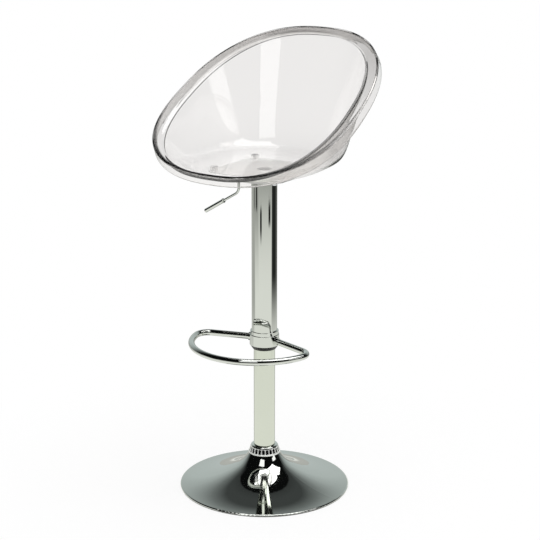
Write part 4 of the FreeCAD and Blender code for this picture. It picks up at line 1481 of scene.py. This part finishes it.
    def _skirt(self, outward: float, below: float) -> np.ndarray:
        """Returns a curve of the crest or skirt, at an even distance outside the crest."""
        return self._rim(outward, outward, below * (1 + self.skirt_stretch * self.front))

    def _floor(self, level: float) -> np.ndarray:
        """Returns the floor's outline at a level."""
        oval = self._oval(self.floor_half_side, self.floor_half_side, self.floor_fullness)
        return np.column_stack([oval, np.full(self.around, level)])

    def _wall_curves(self, floor: np.ndarray, crease: np.ndarray) -> list[np.ndarray]:
        """Draws the bowl's wall from the floor to just below the crease.

        Args:
            floor: The floor's outline.
            crease: The crease between wall and lip.

        Returns:
            The wall's curves.
        """
        curves = []
        evenly = np.arange(self.wall_steps) / self.wall_steps
        near, far = evenly**self.end_crowding, (1 - evenly) ** self.end_crowding
        for step in near / (near + far):
            pull, end = 2 * self.corner_weight * step * (1 - step), step**2
            total = (1 - step) ** 2 + pull + end
            spread = (pull * self.corner_spread + end) / total
            rise = (pull * self.corner_rise + end) / total
            curves.append(floor + (crease - floor) * (spread, spread, rise))
        return curves

    def _rim_stations(self) -> list[np.ndarray]:
        """Draws the rim from the bowl's inner crease to its outer one.

        Returns:
            The curves that its section goes through.
        """
        wall, crest, skirt, flare = self.wall, self.crest_round, self.skirt_height, self.skirt_flare
        edge, bend = wall / 2, wall * self.skirt_round
        crest_side, skirt_out = self._skirt(0.0, crest), self._skirt(flare, skirt - edge)
        skirt_in, skirt_root = self._skirt(flare - wall, skirt - edge), self._skirt(-wall, crest)
        corner = crest * CREST_MIDDLE + wall * DIAGONAL
        return [
            *(self._lip(share, below) for share, below in LIP_ABOVE),
            *(self._skirt(-crest * inward, crest * below) for inward, below in CREST_ROUND),
            crest_side,
            *(crest_side * (1 - share) + skirt_out * share for share in SKIRT_HOLDS),
            skirt_out,
            self._skirt(flare - bend, skirt - bend),
            self._skirt(flare - edge, skirt),
            self._skirt(flare - wall + bend, skirt - bend),
            skirt_in,
            *(skirt_in * (1 - share) + skirt_root * share for share in SKIRT_HOLDS),
            skirt_root,
            self._skirt(-corner, corner),
            self._skirt(-crest, wall),
            *(self._lip(share, below) for share, below in LIP_BELOW),
            self._lip(1.0, LIP_BELOW[-1][1] + wall / 2, wall),
        ]

    def _smooth(self, stations: list[np.ndarray]) -> list[np.ndarray]:
        """Draws a smooth skin through stations.

        Args:
            stations: The curves to go through; the first and last only give the skin's slope.

        Returns:
            The skin's curves.
        """
        gaps = [float(np.linalg.norm(b - a, axis=1).mean()) for a, b in zip(stations, stations[1:])]
        slopes = []
        for index in range(1, len(stations) - 1):
            before = (stations[index] - stations[index - 1]) / gaps[index - 1]
            after = (stations[index + 1] - stations[index]) / gaps[index]
            both = gaps[index - 1] + gaps[index]
            slopes.append((before * gaps[index] + after * gaps[index - 1]) / both)
        curves = []
        for index in range(len(slopes) - 1):
            low, high, gap = stations[index + 1], stations[index + 2], gaps[index + 1]
            for step in np.arange(self.span_steps) / self.span_steps:
                rise = step * step * (3 - 2 * step)
                leave = slopes[index] * step * (1 - step) ** 2 * gap
                arrive = slopes[index + 1] * step * step * (step - 1) * gap
                curves.append(low + (high - low) * rise + leave + arrive)
        return curves

    def _shell(self) -> bpy.types.Mesh:
        """Makes the bucket without its bosses, closed and with its painted shade marked.

        Returns:
            The mesh.
        """
        rim = self._rim_stations()
        inside = self._wall_curves(self._floor(self.floor_level), rim[0])
        outside = self._wall_curves(self._floor(self.floor_level - self.wall), rim[-1])
        curves = inside + self._smooth([inside[-1]] + rim + [outside[-1]]) + [rim[-1]] + outside[::-1]
        shares = np.arange(1, self.floor_steps) / self.floor_steps
        top = [inside[0] * (share, share, 1.0) for share in shares]
        bottom = [outside[0] * (share, share, 1.0) for share in shares[::-1]]
        corners = np.concatenate(top + curves + bottom)
        poles = [(0.0, 0.0, self.floor_level), (0.0, 0.0, self.floor_level - self.wall)]
        count, around = len(corners) // self.around, self.around
        first_pole, last_pole, last = len(corners), len(corners) + 1, (count - 1) * around
        faces: list[tuple[int, ...]] = []
        for index in range(around):
            after = (index + 1) % around
            faces.append((first_pole, index, after))
            faces.append((last_pole, last + after, last + index))
            for row in range(count - 1):
                low, high = row * around, (row + 1) * around
                faces.append((low + index, high + index, high + after, low + after))
        mesh = new_mesh("seat_bucket", np.vstack([corners, poles]) * MM, faces)
        # Writes the painted shade of the lip and the crest onto the points
        for mark, grey in self._painted_shade(corners).items():
            mark_points(mesh, mark, grey.tolist() + [0.0] * len(poles))
        return mesh

    def _painted_shade(self, corners: np.ndarray) -> dict[str, np.ndarray]:
        """Works out the painted shade on the lip and its crest: the lip most at the back, the crest at the
        front.

        Args:
            corners: The shell's points.

        Returns:
            The shares of painted shade at the points, for the lip and for its crest.
        """
        tilt, tint = math.radians(self.rim_tilt), self.tint
        deep, level = corners[:, 1] - self.rim_centre_y, corners[:, 2] - self.rim_centre_level
        along = deep * math.cos(tilt) + level * math.sin(tilt)
        below = deep * math.sin(tilt) - level * math.cos(tilt)
        half_length = self.rim_half_length - self.front_trim * (along < 0)
        size = np.abs(corners[:, 0] / self.rim_half_width) ** self.rim_fullness
        size = (size + np.abs(along / half_length) ** self.rim_fullness) ** (1 / self.rim_fullness)
        along = along / self.rim_half_length
        end = np.clip((along - tint.back_start) / tint.back_span, 0, 1)
        # Painted shade on the lip: below the rim, inside the crest, greyest towards the back
        near_rim = np.clip(self.wall * (tint.depth + tint.back_depth * end) - below, 0, 1)
        inside = np.clip((1.0 - size) / tint.outer_edge, 0, 1)
        back = np.clip(tint.lip_middle + along, 0, 1) * (1 - tint.back_ease * end)
        inset = (1.0 - size) * self.rim_half_width
        # Painted shade along the crest, darkest towards the front
        on_top = below < self.crest_round * tint.bead_depth
        bead = np.clip((tint.bead - inset) / tint.bead_edge, 0, 1) * on_top
        front = np.clip(tint.crest_middle - tint.crest_slope * along, 0, 1)
        return {PAINTED_LIP_SHADE: near_rim * inside * back, PAINTED_CREST_SHADE: bead * front}

    def _posts(self, radius: float, bottom: float, top: float) -> bpy.types.Mesh:
        """Makes upright round posts over the four bolts.

        Args:
            radius: Their radius.
            bottom: The height of their lower ends.
            top: The height of their upper ends.

        Returns:
            One mesh of all four.
        """
        offset = self.boss_spacing / 2 * MM
        rings = [Ring(0.0, bottom), Ring(radius, bottom), Ring(radius, top), Ring(0.0, top)]
        post = skinned("post", rings, self.boss_segments)
        corners: list[Vector] = []
        faces: list[tuple[int, ...]] = []
        for across, deep in ((-offset, -offset), (offset, -offset), (offset, offset), (-offset, offset)):
            first = len(corners)
            corners += [vertex.co + Vector((across, deep, 0.0)) for vertex in post.vertices]
            faces += [tuple(first + corner for corner in face.vertices) for face in post.polygons]
        return new_mesh("posts", corners, faces)

    @staticmethod
    def _combine(body: bpy.types.Mesh, tool: bpy.types.Mesh, joining: Joining) -> bpy.types.Mesh:
        """Joins or cuts two closed meshes.

        Args:
            body: The mesh that is changed.
            tool: The mesh that is added or taken away.
            joining: Which of the two.

        Returns:
            The new mesh.
        """
        objects = [stand(mesh.name, mesh) for mesh in (body, tool)]
        modifier = objects[0].modifiers.new("combine", "BOOLEAN")
        modifier.operation = joining.value
        modifier.solver = "EXACT"
        modifier.object = objects[1]
        mesh = baked(objects[0])
        for item in objects:
            bpy.data.objects.remove(item)
        return mesh


@dataclass(frozen=True)
class SoftBox:
    """A lamp with a diffuser.

    Attributes:
        name: Its name.
        place: Where it hangs, in metres.
        aim: The point that it faces.
        width: Its width.
        height: Its height.
        radiance: How bright its face is, where 1 is white.
        roll: How far it is turned in its own plane, in degrees.
    """

    name: str
    place: Point
    aim: Point
    width: float
    height: float
    radiance: float
    roll: float

    def hang(self) -> None:
        """Makes the lamp."""
        lamp = bpy.data.lights.new(self.name, "AREA")
        lamp.shape = "RECTANGLE"
        lamp.size, lamp.size_y = self.width, self.height
        lamp.energy = self.radiance * math.pi * self.width * self.height
        hung = stand(self.name, lamp)
        hung.location = self.place
        facing = (Vector(self.aim) - Vector(self.place)).to_track_quat("-Z", "Y")
        turned = Quaternion((0.0, 0.0, 1.0), math.radians(self.roll))
        hung.rotation_euler = (facing @ turned).to_euler()
        hung.visible_camera = False
        log.info("hung %s", self.name)


SOFT_BOXES = [
    SoftBox(
        "top_bank",
        place=(0.683, 0.175, 2.766),
        aim=(0.139, -0.543, -0.183),
        width=1.868,
        height=2.812,
        radiance=2.2,
        roll=-27.8,
    ),
    SoftBox(
        "left_strip",
        place=(0.489, -1.54, 1.864),
        aim=(-0.024, 0.177, 0.867),
        width=0.938,
        height=1.071,
        radiance=1.3,
        roll=13.5,
    ),
    SoftBox(
        "right_strip",
        place=(3.284, 0.684, 1.86),
        aim=(-0.08, -0.43, 0.508),
        width=0.638,
        height=1.552,
        radiance=1.3,
        roll=58.9,
    ),
]


@dataclass(frozen=True)
class FloorShade:
    """A stretch of the floor that looks dark in metal, where the paper ends.

    Attributes:
        turn: Its direction from the column, in degrees to the right of the camera's side.
        half_width: Half its angle in degrees.
        start: Where it starts, from the column, in metres.
        stop: Where it ends, past the floor's own edge unless given.
        depth: How dark it is, from 0 to 1.
        fade: How gently it starts, as a share of that distance.
        side_fade: How gently it ends at its sides, as a share of half its angle.
        stop_fade: How gently it stops, as a share of that distance.
    """

    turn: float
    half_width: float
    start: float
    stop: float = 60.0
    depth: float = 1.0
    fade: float = 0.15
    side_fade: float = 0.25
    stop_fade: float = 0.05


# Each stretch by its direction, half its angle and its start, then by what is its own
FLOOR_SHADES = [
    FloorShade(98.0, 30.0, 1.45, fade=0.35),
    FloorShade(142.0, 24.0, 1.45, depth=0.88, fade=0.35),
    FloorShade(-74.0, 8.0, 2.88, fade=0.05),
    FloorShade(-99.0, 6.0, 2.88, depth=0.85, fade=0.05),
    FloorShade(-31.5, 8.5, 2.45, stop=3.02, fade=0.08),
    FloorShade(46.0, 10.0, 2.66, stop=3.14, fade=0.04),
    FloorShade(-90.0, 40.0, 2.35, depth=0.58, fade=0.36),
    FloorShade(-118.0, 24.0, 1.2, depth=0.5, fade=0.4),
    FloorShade(180.0, 42.0, 0.25, depth=0.45),
    FloorShade(0.0, 180.0, 3.1, depth=0.78, fade=0.48),
]

# The backdrop's faint halo in metal, by the cosine of the angle from its middle
BACKDROP_HALO = [(0.0, 0.004), (0.700, 0.004), (0.712, 0.045), (0.80, 0.06), (1.0, 0.06)]

# The backdrop's grey in metal, by the height of the direction
BACKDROP_PANEL = [
    (0.0, 0.58),
    (0.32, 0.57),
    (0.43, 0.47),
    (0.52, 0.33),
    (0.60, 0.19),
    (0.68, 0.09),
    (0.77, 0.0),
]

# The surroundings' grey through the plastic, by the height of the direction
SEEN_THROUGH = [(0.0, 1.0), (0.2, 0.96), (0.42, 0.45), (0.65, 0.1), (1.0, 0.03)]


@dataclass
class Studio:
    """The place of the photograph: camera, pale floor, white surroundings and soft lamps.

    Attributes:
        view_turn: The camera's turn around the column from the sitter's front, in degrees.
        view_reach: The camera's distance from the column, along the floor, in metres.
        view_height: The camera's height.
        aim_height: The height on the column that the camera points at.
        focal_pixels: The focal length in pixels of the square frame.
        frame_pixels: The frame's side in pixels.
        column_pixel: The column's place across the frame.
        floor_reach: How far the floor goes.
        floor_colour: The floor's colour where light falls on it.
        paper_colour: Its colour as metal mirrors it.
        dark_colour: The same in its dark stretches.
        shadow_share: How much of the floor's shadow shows, close to the stool.
        shadow_start: Where that shadow starts to fade.
        shadow_reach: Where it has faded out.
        backdrop_colour: The backdrop's colour as metal mirrors it.
        backdrop_side: Where the backdrop ends at its sides, by the cosine of the angle.
        glow_rise: The height of the backdrop's brightest part, in degrees.
        soft_light: The strength of the light from all around.
    """

    view_turn: float = 34.0
    view_reach: float = 3.6
    view_height: float = 1.53
    aim_height: float = 0.537
    focal_pixels: float = 1591.9
    frame_pixels: float = 540.0
    column_pixel: float = 264.4
    floor_reach: float = 40.0
    floor_colour: Colour = (0.9, 0.9, 0.9)
    paper_colour: Colour = (0.88, 0.89, 0.84)
    dark_colour: Colour = (0.02, 0.022, 0.02)
    shadow_share: float = 0.2
    shadow_start: float = 0.2
    shadow_reach: float = 0.9
    backdrop_colour: Colour = (0.91, 1.0, 0.985)
    backdrop_side: float = 0.3
    glow_rise: float = 18.6
    soft_light: float = 0.7

    def set_up(self) -> None:
        """Builds the whole place."""
        bpy.context.scene.view_settings.view_transform = "Standard"
        self.add_camera()
        self.add_surroundings()
        self.add_floor()
        for box in SOFT_BOXES:
            box.hang()

    def side(self, turn: float) -> Vector:
        """Returns a level direction from the column, at a turn to the right of the camera's side."""
        heading = math.radians(self.view_turn + turn)
        return Vector((math.sin(heading), -math.cos(heading), 0.0))

    def add_camera(self) -> None:
        """Puts the camera where the photograph was taken."""
        lens = bpy.data.cameras.new("photograph")
        lens.sensor_width = 36.0
        lens.lens = self.focal_pixels / self.frame_pixels * lens.sensor_width
        lens.shift_x = 0.5 - self.column_pixel / self.frame_pixels
        camera = stand("photograph", lens)
        camera.location = self.side(0.0) * self.view_reach + Vector((0.0, 0.0, self.view_height))
        aim = Vector((0.0, 0.0, self.aim_height))
        camera.rotation_euler = (aim - camera.location).to_track_quat("-Z", "Y").to_euler()
        bpy.context.scene.camera = camera

    @staticmethod
    def _ramp(nodes: Nodes, stops: list[Pair], value: Socket) -> Socket:
        """Adds a ramp of greys.

        Args:
            nodes: The tree's nodes.
            stops: Each stop's position and grey.
            value: The socket that runs along the ramp.

        Returns:
            The socket of the grey.
        """
        ramp = nodes.fill(nodes.add("ShaderNodeValToRGB"), Fac=value)
        elements = ramp.color_ramp.elements
        while len(elements) < len(stops):
            elements.new(0.5)
        for element, (position, grey) in zip(elements, stops):
            element.position = position
            element.color = opaque((grey, grey, grey))
        return ramp.outputs["Color"]

    @staticmethod
    def _light(nodes: Nodes, kind: str, colour: Any, strength: float = 1.0) -> Socket:
        """Returns the output of a background or an emission with a colour and a strength."""
        return nodes.fill(nodes.add(kind), Color=colour, Strength=strength).outputs[0]

    def add_surroundings(self) -> None:
        """White to the camera; metal sees a lit backdrop in a dark room, plastic one darker upward."""
        world = bpy.data.worlds.new("studio")
        bpy.context.scene.world = world
        world.use_nodes = True
        nodes = Nodes(world.node_tree)
        nodes.tree.nodes.clear()
        way = nodes.add("ShaderNodeTexCoord").outputs["Generated"]
        height = nodes.step("ShaderNodeSeparateXYZ", way)["Z"]
        back, rise = self.side(180.0), math.radians(self.glow_rise)
        glow_middle = back * math.cos(rise) + Vector((0.0, 0.0, math.sin(rise)))
        halo = self._ramp(nodes, BACKDROP_HALO, nodes.reach(way, glow_middle))
        level = nodes.step("ShaderNodeVectorMath", way, (1.0, 1.0, 0.0), operation="MULTIPLY")[0]
        heading = nodes.step("ShaderNodeVectorMath", level, operation="NORMALIZE")[0]
        sides = nodes.remap(nodes.reach(heading, back), self.backdrop_side, 1.0, soft=True)
        panel = nodes.maths("MULTIPLY", self._ramp(nodes, BACKDROP_PANEL, height), sides)
        lit = nodes.maths("MAXIMUM", halo, panel)
        layers = {
            "Is Glossy Ray": nodes.mix(lit, opaque(BLACK), opaque(self.backdrop_colour)),
            "Is Transmission Ray": self._ramp(nodes, SEEN_THROUGH, height),
            "Is Camera Ray": opaque(WHITE),
        }
        path = nodes.add("ShaderNodeLightPath").outputs
        shown = self._light(nodes, "ShaderNodeBackground", opaque(WHITE), self.soft_light)
        for ray, colour in layers.items():
            shown = nodes.blend(path[ray], shown, self._light(nodes, "ShaderNodeBackground", colour))
        nodes.fill(nodes.add("ShaderNodeOutputWorld"), Surface=shown)

    def add_floor(self) -> None:
        """A white floor that keeps a soft shadow, and ends in the dark where metal mirrors it."""
        reach = self.floor_reach
        corners = [(-reach, -reach, 0), (reach, -reach, 0), (reach, reach, 0), (-reach, reach, 0)]
        floor = stand("floor", new_mesh("floor", corners, [(0, 1, 2, 3)]))
        material, nodes = new_material("floor")
        material.cycles.emission_sampling = "NONE"
        nodes.tree.nodes.clear()
        place = nodes.place()
        distance = nodes.step("ShaderNodeVectorMath", place, operation="LENGTH")["Value"]
        path = nodes.add("ShaderNodeLightPath").outputs
        matte = nodes.fill(nodes.add("ShaderNodeBsdfDiffuse"), Color=opaque(self.floor_colour)).outputs[0]
        white = self._light(nodes, "ShaderNodeEmission", opaque(WHITE))
        whiter = {"To_Min": 1.0 - self.shadow_share, "To_Max": 1.0}
        near = nodes.remap(distance, self.shadow_start, self.shadow_reach, soft=True, **whiter)
        seen = nodes.maths("MAXIMUM", path["Is Camera Ray"], path["Is Transmission Ray"])
        plain = nodes.blend(nodes.maths("MULTIPLY", seen, near), matte, white)
        dark = self._shades(nodes, place, distance)
        paper = nodes.mix(dark, opaque(self.paper_colour), opaque(self.dark_colour))
        mirrored = self._light(nodes, "ShaderNodeEmission", paper)
        bounced = nodes.maths("SUBTRACT", path["Is Glossy Ray"], path["Is Transmission Ray"])
        nodes.fill(nodes.add("ShaderNodeOutputMaterial"), Surface=nodes.blend(bounced, plain, mirrored))
        floor.data.materials.append(material)

    def _shades(self, nodes: Nodes, place: Socket, distance: Socket) -> Socket:
        """Adds the floor's dark stretches.

        Args:
            nodes: The floor's nodes.
            place: The place on the floor.
            distance: Its distance from the column.

        Returns:
            The socket of how dark the place is.
        """
        dark: Any = 0.0
        for shade in FLOOR_SHADES:
            ahead = nodes.reach(place, self.side(shade.turn))
            beside = nodes.reach(place, self.side(shade.turn + 90.0))
            angle = nodes.maths("ABSOLUTE", nodes.maths("ARCTAN2", beside, ahead))
            half, start, stop = math.radians(shade.half_width), shade.start, shade.stop
            limits = (
                (angle, half * (1 + shade.side_fade), half * (1 - shade.side_fade)),
                (distance, start * (1 - shade.fade), start * (1 + shade.fade)),
                (distance, stop * (1 + shade.stop_fade), stop * (1 - shade.stop_fade)),
            )
            here: Any = shade.depth
            for value, low, high in limits:
                here = nodes.maths("MULTIPLY", here, nodes.remap(value, low, high, soft=True))
            dark = nodes.maths("MAXIMUM", dark, here)
        return dark


def write_sizes() -> None:
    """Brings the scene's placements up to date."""
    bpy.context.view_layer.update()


def main() -> None:
    """Builds the place and the stool."""
    logging.basicConfig(level=logging.INFO, format="%(name)s: %(message)s")
    Studio().set_up()
    rack = FinishRack()
    rack.dress_frame()
    maker = PieceMaker(rack)
    for assembly in (TrimCrown(), BaseFixings(), SeatFixings(), LeverBar(), SeatShell()):
        assembly.build(maker)
    write_sizes()


if __name__ == "__main__":
    main()
